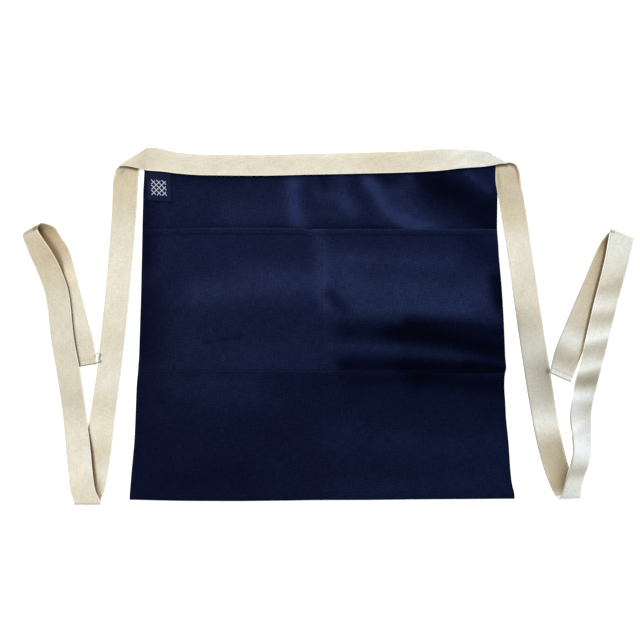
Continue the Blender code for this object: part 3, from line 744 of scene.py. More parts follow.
def skirt_cloth(material):
    """The skirt with turned hems at its sides and bottom, up into the waistband."""
    shares = spread_knots(HEM_WIDTH, SHEET_STEP, NEAR_SIDE)
    edge = band_edge(shares)
    sag = sag_at(shares)
    rows = [up * (edge + sag) - sag for up in spread_knots(SKIRT_LENGTH, SHEET_STEP, NEAR_HEM)]
    ends = np.minimum(shares * TOP_WIDTH / BAND_INSET_LEFT, (1 - shares) * TOP_WIDTH / BAND_INSET_RIGHT)
    tuck = SKIRT_TUCK * (0.05 + 0.95 * smooth_step(ends - 1) * band_height(shares) / band_height(0))
    rows += [edge + above * tuck for above in (0.2, 0.6, 1.0)]
    y = np.array(rows)
    x = across_at(shares, y)
    side = from_edges(shares, HEM_WIDTH) + 0 * y
    above_hem = y + sag
    under_pocket = smooth_step((POCKET_MOUTH + HEM_FLAT_PAST - y) / HEM_FLAT_RAMP)
    under_pocket *= smooth_step((y - POCKET_BOTTOM + HEM_FLAT_PAST) / HEM_FLAT_RAMP)
    rise = np.maximum(hem_rise(side, SIDE_HEM) * (1 - under_pocket), hem_rise(above_hem, BOTTOM_HEM))
    rise = rise * (1 - near_band(x, y))
    face, back = lay_sheet(x, y, skirt_height(x, y), SKIRT_WALL, rise)
    # Painted light and shade of the folds
    pale = painted_fold_shading(x, y, SKIRT_PAINTED_SHADING)
    # Painted shadow under the band, painted shade above the pocket's mouth, and darker along the skirt's
    # edges
    pale -= bell(np.maximum(edge - y, 0.0), *BELOW_BAND)
    pale -= bell(np.maximum(y - mouth_height(shares), 0.0), *ABOVE_MOUTH)
    pale -= bell(np.minimum(side, above_hem), *ALONG_EDGE)
    # Painted light just below the pocket's bottom, against the shade there
    pale += bell(np.maximum(POCKET_BOTTOM - y, 0.0), *POCKET_FOOT) * (y < POCKET_BOTTOM + 0.002)
    return shell("skirt_cloth", face, back, material, np.stack([x, y], -1), {"pale": pale})


def mouth_height(shares):
    """The pocket's mouth bows up a little on the left and is drawn down at the dividing seam."""
    bow = MOUTH_BOW * np.sin(math.pi * np.clip(shares / 0.47, 0, 1))
    raised = MOUTH_LIFT * smooth_step((shares - 0.25) / 0.15)
    return POCKET_MOUTH + bow + raised - bell(shares - DIVIDER_SHARE, *MOUTH_DRAWN)


def pocket_cloth(material):
    """The pocket sheet with a turned hem at its mouth, sewn down at its sides, bottom and dividing seam."""
    middle = POCKET_MOUTH - POCKET_DEPTH / 2
    _, divider = pocket_share(0.0, middle)
    width = float(side_at(1, middle) + side_at(-1, middle))
    left_half = spread_knots(width * divider, SHEET_STEP, NEAR_POCKET_SIDE)[:-1] * divider
    right_half = divider + spread_knots(width * (1 - divider), SHEET_STEP, NEAR_POCKET_SIDE) * (1 - divider)
    shares = np.concatenate([left_half, right_half])
    mouth = mouth_height(shares)
    ups = spread_knots(POCKET_DEPTH, POCKET_STEP, NEAR_MOUTH)
    y = np.array([POCKET_BOTTOM + (mouth - POCKET_BOTTOM) * up for up in ups])
    x = across_at(shares, y)
    below_mouth = mouth - y
    above_bottom = y - POCKET_BOTTOM
    side = from_edges(shares, width) + 0 * y
    rise = np.maximum(hem_rise(below_mouth, MOUTH_HEM), hem_rise(side, SIDE_HEM))
    rise -= bell(x - DIVIDER_OFFSET, *SEAM_GROOVE) + bell(above_bottom - SEAM_INSET, *SEAM_GROOVE)
    pressed = PRESSED_DOWN * smooth_step(1 - above_bottom / PRESSED_STRIP)
    low = skirt_top(x, y) + pocket_lift(x, y)
    face, back = lay_sheet(x, y, low, POCKET_WALL, rise - pressed)
    # Painted highlight where the mouth's rounded hem catches the light, fainter on the left
    mouth_highlight = LIT_MOUTH_LEFT + (LIT_MOUTH - LIT_MOUTH_LEFT) * smooth_step((x - LIT_MOUTH_START) / LIT_MOUTH_RAMP)
    # Painted light and shade of the folds, plus the painted highlight on the mouth
    pale = painted_fold_shading(x, y, POCKET_PAINTED_SHADING) + bell(below_mouth, mouth_highlight, LIT_MOUTH_WIDTH)
    # Painted shade in the mouth hem's seam
    pale -= bell(below_mouth - MOUTH_HEM + 0.001, *MOUTH_SEAM)
    # Painted light along the pocket's bottom edge
    pale += bell(above_bottom, *POCKET_FOOT)
    return shell("pocket_cloth", face, back, material, np.stack([x, y], -1), {"pale": pale})


def band_pucker(x, up):
    """Small puckers of the band's front leaf, upright on the left and slanting on the right."""
    along = x - up * BAND_WIDTH * 0.9 * smooth_step((x + 0.05) / 0.15)
    waves = sum(size * np.sin(along * pitch + start) for pitch, start, size in PUCKER_WAVES)
    from_ends = np.minimum(x + TOP_WIDTH / 2, TOP_WIDTH / 2 - BAND_INSET_RIGHT - x)
    strength = (0.55 + 0.45 * np.sin(x * 31 + 0.7)) * smooth_step(from_ends / 0.03)
    return PUCKER_HEIGHT * (waves + 1.6) * strength * np.sin(math.pi * np.clip(up, 0, 1)) ** 0.7


def band_front(along, up):
    """A point of the front leaf's middle surface, from its lower edge (0) to the fold (1)."""
    x = (along - 0.5) * TOP_WIDTH
    return x, band_edge(along) + up * band_height(along), FRONT_LEVEL + band_pucker(x, up)


def waistband_tape(material):
    """The tape's back leaf, its fold along the top and its front leaf."""
    tight = JOINT_STEP / TOP_WIDTH
    middle = np.linspace(BAND_START, BAND_END, 230)[1:-1]
    along = np.concatenate([[BAND_START, BAND_START + tight], middle, [BAND_END - tight, BAND_END]])
    back_level = BAND_WALL / 2
    radius = (FRONT_LEVEL - back_level) / 2
    x = (along - 0.5) * TOP_WIDTH
    low = band_edge(along)
    centre = low + band_height(along) - radius - BAND_WALL / 2
    columns = []
    flats = []
    for up in BACK_LEAF:
        columns.append((x, low + (centre - low) * up, back_level + 0 * x))
        flats.append(-FOLD_ROUND / 2 - (1 - up) * BAND_WIDTH)
    for step in range(FOLD_STEPS + 1):
        turn = math.pi * step / FOLD_STEPS
        height = back_level + radius * (1 - math.cos(turn))
        columns.append((x, centre + radius * math.sin(turn), height + 0 * x))
        flats.append(-FOLD_ROUND / 2 + FOLD_ROUND * step / FOLD_STEPS)
    for up in FRONT_LEAF:
        columns.append((x, low + (centre - low) * up, band_front(along, up)[2]))
        flats.append(FOLD_ROUND / 2 + (1 - up) * BAND_WIDTH)
    grid = round_corners(np.stack([np.stack(column, -1) for column in columns], 1))
    ups = np.array(flats)
    above_edge = ups[-1] - ups
    from_edge = np.minimum(ups - ups[0], above_edge)
    half = (BAND_WALL / 2 * tape_fullness(from_edge))[None, :, None]
    normals = normals_of(grid)
    flat = np.stack(np.broadcast_arrays(above_edge[None, :], (x[0] - x)[:, None]), -1)
    share = (along - BAND_START) / (BAND_END - BAND_START)
    # Painted light and shade along the band, with the painted highlight on its rims
    light, warm = tape_tones(BAND_TONES, share, from_edge, grid.shape[:2])
    # Painted highlights along the band's lower edge and near its top
    for pale, above, width in BAND_HIGHLIGHTS:
        light = light + bell(above_edge - above, pale, width)
    shades = {"shade": np.zeros(grid.shape[:2]), "light": light, "warm": warm}
    return shell("waistband_tape", grid - normals * half, grid + normals * half, material, flat, shades)


def tie_ends(side, line):
    """The two ends of one line across a tie, on the tape's middle surface."""
    y = SKIRT_LENGTH - line.down * TIE_LENGTH
    edge = float(side_at(side, min(max(y, 0.0), SKIRT_LENGTH)))
    floor = TAPE_WALL / 2 + line.layer * (TAPE_WALL + GAP)
    skew = line.skew * TAPE_WIDTH / 2
    ends = (line.inner, skew, line.inner_lift), (line.outer, -skew, line.outer_lift)
    return tuple(
        Vector((side * (edge + out * TAPE_WIDTH), y + shift, floor + lift * LOOP_HEIGHT))
        for out, shift, lift in ends
    )


def crease_lines(before, crease, after):
    """Lines round a crease, half a turn from the height of the line before to that of the line after."""
    away = (crease[1] - crease[0]).cross(Vector((0, 0, 1))).normalized()
    if away.dot(crease[0] + crease[1] - after[0] - after[1]) < 0:
        away = -away
    lines = []
    for step in range(FOLD_STEPS + 1):
        turn = math.pi * step / FOLD_STEPS
        ends = []
        for end in (0, 1):
            rise = after[end].z - before[end].z
            point = crease[end] + away * (math.sin(turn) - 1) * abs(rise) / 2
            point.z = before[end].z + rise * (1 - math.cos(turn)) / 2
            ends.append(point)
        lines.append(tuple(ends))
    return lines


def round_corners(grid):
    """Draws the tape in at the rounded corners of its outline."""
    for corner in TAPE_CORNERS:
        places = (corner.x, corner.y), (corner.before_x, corner.before_y), (corner.after_x, corner.after_y)
        tip, before, after = (np.array((x * MM, SKIRT_LENGTH + y * MM)) for x, y in places)
        radius = corner.radius * MM
        ways = [(p - tip) / np.linalg.norm(p - tip) for p in (before, after)]
        middle = (ways[0] + ways[1]) / np.linalg.norm(ways[0] + ways[1])
        sine = abs(ways[0][0] * middle[1] - ways[0][1] * middle[0])
        centre = tip + middle * radius / sine
        reach = radius * math.sqrt(max(1 / sine**2 - 1, 0.0))
        out = grid[..., :2] - centre
        away = np.linalg.norm(out, axis=-1)
        from_tip = grid[..., :2] - tip
        near_tip = (from_tip @ ways[0] < reach) & (from_tip @ ways[1] < reach)
        beyond = near_tip & (away > radius) & (away < radius * 1.6)
        drawn_in = centre + out * (radius / np.maximum(away, 1e-9))[..., None]
        grid[..., :2] = np.where(beyond[..., None], drawn_in, grid[..., :2])
    return grid


def smooth_lines(lines, firm):
    """More lines between the given ones, on smooth curves, as arrays of inner and outer ends."""
    middles = [(a + b) / 2 for a, b in lines]
    knots = [0.0]
    for a, b in zip(middles, middles[1:]):
        knots.append(knots[-1] + max((b - a).length, TAPE_WALL / 10))
    places = []
    for i, knot in enumerate(knots[:-1]):
        in_crease = i in firm and i + 1 in firm
        pieces = 1 if in_crease else max(1, round((knots[i + 1] - knot) / TIE_STEP))
        places += [knot + (knots[i + 1] - knot) * piece / pieces for piece in range(pieces)]
    places.append(knots[-1])
    places.insert(1, JOINT_STEP)
    tracks = [[line[end][axis] for line in lines] for end in (0, 1) for axis in range(3)]
    values = np.stack([curve_at(knots, track, places) for track in tracks], -1)
    return values[:, :3], values[:, 3:], np.array(places), knots


def tie_lines(side, tie):
    """The tape's edges along a tie, and how far each line of its table lies along it."""
    along = BAND_START if side < 0 else BAND_END
    x = (along - 0.5) * TOP_WIDTH
    low = float(band_edge(along))
    lines = [(Vector((x, low + float(band_height(along)), FRONT_LEVEL)), Vector((x, low, FRONT_LEVEL)))]
    firm = set()
    starts = []
    ends = [tie_ends(side, line) for line in tie.lines]
    for i, end in enumerate(ends):
        starts.append(len(lines))
        if i in tie.creases:
            lines += crease_lines(lines[-1], end, ends[i + 1])
            firm |= set(range(starts[-1], len(lines)))
        else:
            lines.append(end)
    inner, outer, places, knots = smooth_lines(lines, firm)
    return inner, outer, places, [knots[start] for start in starts]


def ripple_height(ripples, places, across):
    """How far the tape's cross ripples lift it."""
    lift = 0.0
    for ripple in ripples:
        middle = ripple.along * TIE_LENGTH + ripple.slant * TAPE_WIDTH * (across - 0.5)
        lift = lift + bell(places - middle, ripple.height * MM, ripple.length * MM)
    return lift


def edge_shadow(points, edge, shadows):
    """The painted shadow on a lower run beside the upper run's edge."""
    steps = np.linalg.norm(np.diff(edge, axis=0), axis=1)
    along = np.concatenate([[0.0], np.cumsum(steps)])
    distance = np.linalg.norm(points[:, :, None, :2] - edge[None, None, :, :2], axis=-1)
    share = along[distance.argmin(-1)] / along[-1]
    away = distance.min(-1) / MM
    width, depth, haze, haze_shade = (read_table(shadows, name, share) for name in shadows[0]._fields[1:])
    return np.maximum(depth * smooth_step(1.6 - away / width), haze_shade * np.exp(-away / haze))


def tape_columns():
    """Places across a tape, as shares of its width, and the distance of each from the nearer edge."""
    near = np.array(NEAR_EDGE) / TAPE_WIDTH
    middle = np.linspace(near[-1], 1 - near[-1], TAPE_COLUMNS)[1:-1]
    across = np.concatenate([near, middle, 1 - near[::-1]])
    return across, np.minimum(across, 1 - across) * TAPE_WIDTH


def tape_fullness(from_edge):
    """How full the tape's face is near its edge: rounded, then a swell and the row of stitches."""
    full = EDGE_FULL + (1 - EDGE_FULL) * smooth_step(from_edge / EDGE_ROUND)
    return full + bell(from_edge - EDGE_SWELL_AT, *EDGE_SWELL) - bell(from_edge - TAPE_EDGE, *EDGE_GROOVE)


def tape_tones(tones, share, rim, shape):
    """Painted light and shade along the tape, how warm it is, and the painted highlight on its rims."""
    light = read_table(tones, "light", share)[:, None]
    warm = read_table(tones, "warm", share)[:, None] - LIGHT_COOLS * light
    # Painted highlight along the rims
    rim_highlight = bell(rim - RIM_PLACE, 1.0, RIM_WIDTH)[None, :]
    light = np.broadcast_to(light + RIM_HIGHLIGHT * rim_highlight, shape)
    return light, np.broadcast_to(warm - RIM_HIGHLIGHT_COOL * rim_highlight, shape)


def tie_shades(grid, inner, outer, places, starts, tie):
    """The tie's colour attributes: painted shadow beside the runs above it, painted light and shade, and
    warm places.
    """
    rim = tape_columns()[1]
    fold, turned, down_end, up_end = (starts[i] for i in tie.runs)
    fold_end = fold + FOLD_REACH
    upper = (places > down_end) & (places < up_end)
    # Painted shadow beside the upper run's edge and under the band's corner
    shade = np.where(upper[:, None], 0.0, edge_shadow(grid, inner[upper], tie.shadows))
    corner_shade = edge_shadow(grid, outer[places < turned], tie.corner_shadows)
    corner_shade = corner_shade * smooth_step((rim - 0.0026) / 0.0010)
    below_corner = (places >= fold_end) & (places < fold_end + CORNER_REACH)
    shade = np.where(below_corner[:, None], np.maximum(shade, corner_shade), shade)
    shade = np.where((places < fold_end)[:, None], 0.0, shade)
    to_end = (places[-1] - places)[:, None]
    # Painted shade at the hem's fold and the end's edge
    for brown, from_end, width in END_SHADES:
        shade = np.maximum(shade, bell(to_end - from_end, brown, width))
    lower = ((places < down_end) & (places >= fold_end))[:, None]
    # Painted shadow blots on the lower run
    for spot in tie.spots:
        x = grid[..., 0] - spot.x * MM
        y = grid[..., 1] - SKIRT_LENGTH + spot.below * MM
        along = x * math.cos(spot.turn) + y * math.sin(spot.turn)
        off = y * math.cos(spot.turn) - x * math.sin(spot.turn)
        shadow_blot = bell(along, spot.depth, spot.length * MM) * bell(off, 1.0, spot.width * MM)
        shade = np.where(lower, np.maximum(shade, shadow_blot), shade)
    share = places / places[-1]
    from_inner = np.linalg.norm(grid - inner[:, None], axis=-1)
    # Painted light and shade across the tape, and a painted-shade outline on its edge towards the skirt
    lean = read_table(tie.edgings, "lean", share)[:, None] * (1 - 2 * from_inner / TAPE_WIDTH)
    outline = bell(from_inner, read_table(tie.edgings, "outline", share)[:, None], OUTLINE_WIDTH)
    light, warm = tape_tones(tie.tones, share, rim, shade.shape)
    warm = warm - LIGHT_COOLS * lean - OUTLINE_COOLS * outline
    return {"shade": np.maximum(shade, outline), "light": light + lean, "warm": warm}


def tie_tape(name, side, tie, material, thread):
    """One tie of doubled tape with full edges, and its two rows of stitches."""
    inner, outer, places, starts = tie_lines(side, tie)
    near_edge, far_edge = inner, outer
    if side < 0:
        inner, outer = outer, inner
    across, from_edge = tape_columns()
    grid = inner[:, None] + (outer - inner)[:, None] * across[None, :, None]
    grid[..., 2] += ripple_height(tie.ripples, places[:, None], across[None, :])
    grid = round_corners(grid)
    normals = normals_of(grid)
    thick = BAND_WALL / TAPE_WALL
    full = thick + (1 - thick) * smooth_step((places - CORNER_REACH) / 0.05)
    half = TAPE_WALL / 2 * tape_fullness(from_edge)[None, :] * full[:, None]
    to_end = places[-1] - places
    hem = smooth_step((END_HEM + 0.001 - to_end) / 0.002) - bell(to_end - END_HEM, 1.0, 0.001)
    half = (half * (1 + END_HEM_FULL * hem)[:, None])[..., None]
    half[-1] *= 0.4
    from_low = across if side < 0 else 1 - across
    along = places if side < 0 else -places - TOP_WIDTH
    flat = np.stack(np.broadcast_arrays((from_low * TAPE_WIDTH)[None, :], along[:, None]), -1)
    shades = tie_shades(grid, near_edge, far_edge, places, starts, tie)
    face, back = grid + normals * half, grid - normals * half
    obj = shell(name, face, back, material, flat, shades)
    rows = []
    for seam in (SEAM_PLACE, len(across) - 1 - SEAM_PLACE):
        rows.append((face[:, seam], normals[:, seam]))
        rows.append((back[:, seam], -normals[:, seam]))
    stitches = stitch_rows(name.replace("tape", "stitches"), rows, thread)
    return obj, stitches


def stitch_shape():
    """One stitch, 1 long along x: rings of a flattened spindle, and its faces."""
    sides = 6
    rings = ((-0.5, 0.25), (-0.36, 0.85), (0.0, 1.0), (0.36, 0.85), (0.5, 0.25))
    points = []
    for x, size in rings:
        for side in range(sides):
            turn = 2 * math.pi * side / sides
            points.append((x, size * math.cos(turn), size * math.sin(turn)))
    faces = []
    for ring in range(len(rings) - 1):
        for side in range(sides):
            a = ring * sides + side
            b = ring * sides + (side + 1) % sides
            faces.append((a, b, b + sides, a + sides))
    last = (len(rings) - 1) * sides
    caps = [tuple(range(sides))[::-1], tuple(range(last, last + sides))]
    return np.array(points), faces, caps


def stitch_rows(name, rows, material, pitch=STITCH_PITCH, length=STITCH_LENGTH, radius=STITCH_RADIUS):
    """Rows of stitches as one mesh. Each row is its path on the cloth and the cloth's normals there."""
    shape, quads, caps = stitch_shape()
    points = []
    faces = []
    for path, normals in rows:
        seen = as_seen(path)
        steps = np.linalg.norm(np.diff(seen, axis=0), axis=1)
        along = np.concatenate([[0.0], np.cumsum(steps)])
        count = int((along[-1] - pitch) / pitch)
        for i in range(count):
            at = pitch * (i + 1)
            ends = [
                np.array([np.interp(at + part * length, along, path[:, axis]) for axis in range(3)])
                for part in (-0.5, 0.5)
            ]
            up = np.array([np.interp(at, along, normals[:, axis]) for axis in range(3)])
            run = ends[1] - ends[0]
            wide = np.cross(up, run)
            wide /= max(np.linalg.norm(wide), 1e-9)
            up /= max(np.linalg.norm(up), 1e-9)
            base = len(points)
            middle = (ends[0] + ends[1]) / 2 + up * radius * STITCH_LIFT
            offsets = shape[:, :1] * run + shape[:, 2:] * up * radius
            points.extend(middle + offsets + shape[:, 1:2] * wide * radius * STITCH_FLATTEN)
            faces.extend(tuple(base + v for v in quad) for quad in quads)
            faces.extend(tuple(base + v for v in cap) for cap in caps)
    flat = np.array(points)[:, :2]
    return new_piece(name, np.array(points), faces, material, flat)


def upright(path):
    """Normals of a path that all point straight up."""
    return path, np.broadcast_to(np.array([0.0, 0.0, 1.0]), path.shape)


def on_surface(x, y, height, rise):
    """A path at a rise above a lying surface, with upright normals."""
    x, y = np.broadcast_arrays(np.asarray(x, float), np.asarray(y, float))
    return upright(np.stack([x, y, height(x, y) + rise], -1))


def skirt_stitches(material):
    """The rows that hold the skirt's side hems and bottom hem."""
    seam = SIDE_HEM - SEAM_IN_HEM
    rows = []
    above_pocket = (POCKET_MOUTH + HEM_FLAT_PAST, SKIRT_LENGTH - 0.012)
    for low, high in ((BOTTOM_HEM, POCKET_BOTTOM - HEM_FLAT_PAST), above_pocket):
        y = np.linspace(low, high, 120)
        rows += [on_surface(side * (hem_at(side, y) - seam), y, skirt_top, SEAM_RISE) for side in (-1, 1)]
    shares = np.linspace(0, 1, 200)
    left, right = seam - hem_at(-1, 0.0), hem_at(1, 0.0) - seam
    y = BOTTOM_HEM - SEAM_IN_HEM - sag_at(shares)
    rows.append(on_surface(left + shares * (right - left), y, skirt_top, SEAM_RISE))
    return stitch_rows("skirt_stitches", rows, material)


def pocket_stitches(material):
    """The rows at the pocket's mouth hem, bottom, sides and dividing seam."""
    shares = np.linspace(0.003, 0.997, 260)
    y = mouth_height(shares) - MOUTH_HEM + SEAM_IN_HEM
    rows = [on_surface(across_at(shares, y), y, pocket_top, SEAM_RISE)]
    y = np.full(260, POCKET_BOTTOM + SEAM_INSET)
    rows.append(on_surface(across_at(shares, y), y, pocket_top, -SEAM_DIP))
    y = np.linspace(POCKET_BOTTOM + SEAM_INSET, POCKET_MOUTH - 0.003, 160)
    rows.append(on_surface(DIVIDER_OFFSET, y, pocket_top, -SEAM_DIP))
    for side in (-1, 1):
        x = side * (hem_at(side, y) - SIDE_HEM + SEAM_IN_HEM)
        rows.append(on_surface(x, y, pocket_top, SEAM_RISE))
    return stitch_rows("pocket_stitches", rows, material)


def band_stitches(material):
    """The row that closes the waistband just above its lower edge."""
    x, y, z = band_front(np.linspace(BAND_START, BAND_END, 260), TAPE_EDGE / BAND_WIDTH)
    return stitch_rows("waistband_stitches", [upright(np.stack([x, y, z + BAND_WALL * 0.4], -1))], material)


def loose_thread(material):
    """A frayed end of sewing thread at the left tie's end, dark so that it stands in for its painted shadow
    too.
    """
    knots = np.arange(len(LOOSE_THREAD))
    at = np.linspace(0, knots[-1], 60)
    x = curve_at(knots, [p[0] * MM for p in LOOSE_THREAD], at)
    y = curve_at(knots, [SKIRT_LENGTH - p[1] * MM for p in LOOSE_THREAD], at)
    z = TAPE_WALL * 2.2 + 0.0008 * np.sin(at * 2.1)
    rows = [upright(np.stack([x, y, z], -1))]
    return stitch_rows("loose_thread", rows, material, pitch=0.0011, length=0.0014, radius=0.00045)


def label_point(across, down):
    """A point of the label's face, from its top left corner, in metres."""
    turn = math.radians(-LABEL_TURN)
    left = -TOP_WIDTH / 2 + LABEL_INSET
    top = band_edge(LABEL_INSET / TOP_WIDTH) - LABEL_DROP
    x = left + across * math.cos(turn) - down * math.sin(turn) * 0.5
    y = top + across * math.sin(turn) - down * math.cos(turn)
    return x, y


def label_ribbon(material):
    """The woven label with its ends turned under."""
    across = np.linspace(0, LABEL_WIDTH, 40)[None, :] + np.zeros((46, 1))
    down = np.linspace(LABEL_HEIGHT, 0, 46)[:, None] + np.zeros((1, 40))
    x, y = label_point(across, down)
    low = skirt_top(x, y) + GAP
    edge = np.minimum(np.minimum(across, LABEL_WIDTH - across), np.minimum(down, LABEL_HEIGHT - down))
    rise = LABEL_WAVE * np.sin(across * 300) * np.sin(down * 240 + 1)
    rise = rise - bell(edge - LABEL_GROOVE_AT, *LABEL_GROOVE)
    face, back = lay_sheet(x, y, low, LABEL_WALL, rise)
    return shell("label_ribbon", face, back, material, np.stack([across, down], -1))


def lattice_threads(material):
    """A plain woven lattice of small diamonds on the label."""
    half = LATTICE_SIZE / 2
    middle_across, middle_down = LABEL_WIDTH / 2, LABEL_HEIGHT / 2 + 0.001
    rows = []
    for slope in (-1, 1):
        for i in range(-LATTICE_LINES, LATTICE_LINES + 1):
            shift = i * LATTICE_SIZE / (LATTICE_LINES + 1)
            reach = half - abs(shift) / 2
            t = np.linspace(-reach, reach, 24)
            across = middle_across + t + shift / 2
            down = middle_down + slope * (t - shift / 2)
            x, y = label_point(across, down)
            rows.append(on_surface(x, y, skirt_top, GAP + LABEL_WALL))
    return stitch_rows("label_lattice", rows, material, pitch=0.0016, length=0.0019, radius=0.00062)


def add_node(tree, kind, **settings):
    """A new shader node with the given settings."""
    node = tree.nodes.new(kind)
    for key, value in settings.items():
        setattr(node, key, value)
    return node


def fill(tree, node, values):
    """Sets a node's inputs to numbers and colours, and links those whose value is another node's output."""
    for key, value in values.items():
        if isinstance(value, (int, float)):
            node.inputs[key].default_value = value
        elif isinstance(value, tuple):
            node.inputs[key].default_value = (*value, 1)
        elif value is not None:
            tree.links.new(value, node.inputs[key])


def maths(tree, operation, first, second=None, third=None, clamp=False):
    """A Math node whose inputs are numbers or other nodes' outputs."""
    node = add_node(tree, "ShaderNodeMath", operation=operation, use_clamp=clamp)
    fill(tree, node, {0: first, 1: second, 2: third})
    return node.outputs[0]


def scaled(tree, value, factor, added, clamp=False):
    """A value times a factor, and something added."""
    return maths(tree, "MULTIPLY_ADD", value, factor, added, clamp)


def swung(tree, texture, middle, amount, level, clamp=False):
    """A level that a texture raises and lowers, about the texture's middle value."""
    return scaled(tree, maths(tree, "SUBTRACT", texture, middle), amount, level, clamp)


def mix_colour(tree, amount, first, second, blend="MIX"):
    node = add_node(tree, "ShaderNodeMix", data_type="RGBA", blend_type=blend)
    fill(tree, node, {"Factor": amount, 6: first, 7: second})
    return node.outputs[2]


def colour_ramp(tree, level, colours):
    """Colours at even steps of a level from 0 to 1."""
    node = add_node(tree, "ShaderNodeValToRGB")
    elements = node.color_ramp.elements
    for step in range(1, len(colours) - 1):
        elements.new(step / (len(colours) - 1))
    for element, colour in zip(elements, colours):
        element.color = (*colour, 1)
    fill(tree, node, {0: level})
    return node.outputs[0]


def attribute(tree, name):
    return add_node(tree, "ShaderNodeAttribute", attribute_name=name).outputs["Fac"]


def noise(tree, vector, stretch, detail=2.0, roughness=0.5):
    """A noise texture whose lumps have the given number to a metre across and along."""
    mapping = add_node(tree, "ShaderNodeMapping")
    mapping.inputs["Scale"].default_value = (stretch[0], stretch[1], stretch[0])
    fill(tree, mapping, {"Vector": vector})
    texture = add_node(tree, "ShaderNodeTexNoise")
    place = mapping.outputs[0]
    fill(tree, texture, {"Vector": place, "Scale": 1.0, "Detail": detail, "Roughness": roughness})
    return texture.outputs[0]


def slub_threads(tree, vector, warp, weft):
    """Thick places of the warp and the weft, about 1."""
    return maths(tree, "ADD", noise(tree, vector, warp), noise(tree, vector, weft))


def split(tree, vector):
    """The three parts of a vector."""
    node = add_node(tree, "ShaderNodeSeparateXYZ")
    fill(tree, node, {0: vector})
    return node.outputs


def weave(tree, vector, warp, weft):
    """Height of a plain weave with threads of the given widths."""
    place = split(tree, vector)
    across = maths(tree, "SINE", maths(tree, "MULTIPLY", place[0], math.pi / warp))
    along = maths(tree, "SINE", maths(tree, "MULTIPLY", place[1], math.pi / weft))
    return scaled(tree, maths(tree, "MULTIPLY", across, along), 0.5, 0.5)


def cloth_shader(name):
    """A material with its shader and the cloth's own flat coordinates."""
    material = bpy.data.materials.new(name)
    material.use_nodes = True
    tree = material.node_tree
    uv = add_node(tree, "ShaderNodeUVMap", uv_map="cloth")
    return material, tree, tree.nodes["Principled BSDF"], uv.outputs[0]


def relief(tree, *layers):
    """Bumps over each other, the finest first: the height, distance and strength of each."""
    normal = None
    for height, distance, strength in layers:
        node = add_node(tree, "ShaderNodeBump")
        fill(tree, node, {"Height": height, "Distance": distance, "Strength": strength, "Normal": normal})
        normal = node.outputs[0]
    return normal


def navy_canvas(name, pale):
    """Navy cotton canvas: fine weave, slubs, painted light on swells and painted shade in hollows, and a
    soft blue sheen.
    """
    material, tree, shader, flat = cloth_shader(name)
    slubs = slub_threads(tree, flat, (1100, 70), (70, 1100))
    # The 'pale' attribute carries the painted light and shade
    level = scaled(tree, attribute(tree, "pale"), 0.36, 0.5 + pale)
    level = swung(tree, noise(tree, flat, (16, 16), 4.0, 0.6), 0.5, 0.18, level)
    level = swung(tree, noise(tree, flat, (520, 470), 2.0, 0.7), 0.5, 0.62, level)
    level = swung(tree, slubs, 1.0, 0.45, level)
    to_right = scaled(tree, split(tree, flat)[0], 1.5, noise(tree, flat, (6, 6), 1.0), clamp=True)
    tint = mix_colour(tree, to_right, (1.08, 1.00, 0.98), (0.84, 0.95, 1.03))
    threads = weave(tree, flat, 0.00085, 0.00095)
    wrinkles = noise(tree, flat, (55, 55), 3.0, 0.55)
    fill(tree, shader, {
        "Base Color": mix_colour(tree, 1.0, colour_ramp(tree, level, NAVY_COLOURS), tint, "MULTIPLY"),
        "Roughness": scaled(tree, slubs, 0.16, 0.46),
        "Specular IOR Level": 0.06,
        "Specular Tint": (0.28, 0.43, 1.0),
        "Sheen Weight": 0.006,
        "Sheen Roughness": 0.5,
        "Sheen Tint": (0.35, 0.48, 1.0),
        "Normal": relief(tree, (threads, 0.00012, 0.55), (slubs, 0.00035, 0.6), (wrinkles, 0.0022, 0.45)),
    })
    return material


def cream_tape():
    """Cream cotton canvas tape: warp ribs, mottled slubs, its painted light and shade, warm places and
    painted shadows.
    """
    material, tree, shader, flat = cloth_shader("cream_tape_weave")
    slubs = slub_threads(tree, flat, (900, 90), (110, 900))
    amount = swung(tree, slubs, 1.0, 0.9, 0.5)
    amount = swung(tree, noise(tree, flat, (540, 500), 2.0, 0.7), 0.5, 1.0, amount)
    amount = swung(tree, noise(tree, flat, (60, 30), 3.0, 0.6), 0.5, 0.6, amount, clamp=True)
    mottle = mix_colour(tree, amount, (0.80, 0.78, 0.73), (1.15, 1.15, 1.15))
    base = mix_colour(tree, 1.0, mottle, TAPE_COLOUR, "MULTIPLY")
    cast = scaled(tree, noise(tree, flat, (25, 12), 2.0), 0.22, 0.41)
    warmth = scaled(tree, attribute(tree, "warm"), 0.4, cast, clamp=True)
    cast_colour = mix_colour(tree, warmth, (0.946, 1.036, 1.286), (1.10, 0.93, 0.72))
    base = mix_colour(tree, 1.0, base, cast_colour, "MULTIPLY")
    base = mix_colour(tree, 1.0, base, scaled(tree, attribute(tree, "light"), 0.2, 1.0), "MULTIPLY")
    # The painted shadow colour, which the 'shade' attribute mixes in
    brown = mix_colour(tree, 1.0, base, TAPE_SHADOW_BROWN, "MULTIPLY")
    threads = weave(tree, flat, 0.0010, 0.0012)
    lumps = noise(tree, flat, (90, 50), 2.0)
    fill(tree, shader, {
        "Base Color": mix_colour(tree, attribute(tree, "shade"), base, brown),
        "Roughness": scaled(tree, slubs, 0.08, 0.80),
        "Specular IOR Level": 0.25,
        "Sheen Weight": 0.08,
        "Sheen Roughness": 0.6,
        "Sheen Tint": (1.0, 0.97, 0.90),
        "Normal": relief(tree, (threads, 0.00016, 0.6), (slubs, 0.0005, 0.6), (lumps, 0.0016, 0.5)),
    })
    return material


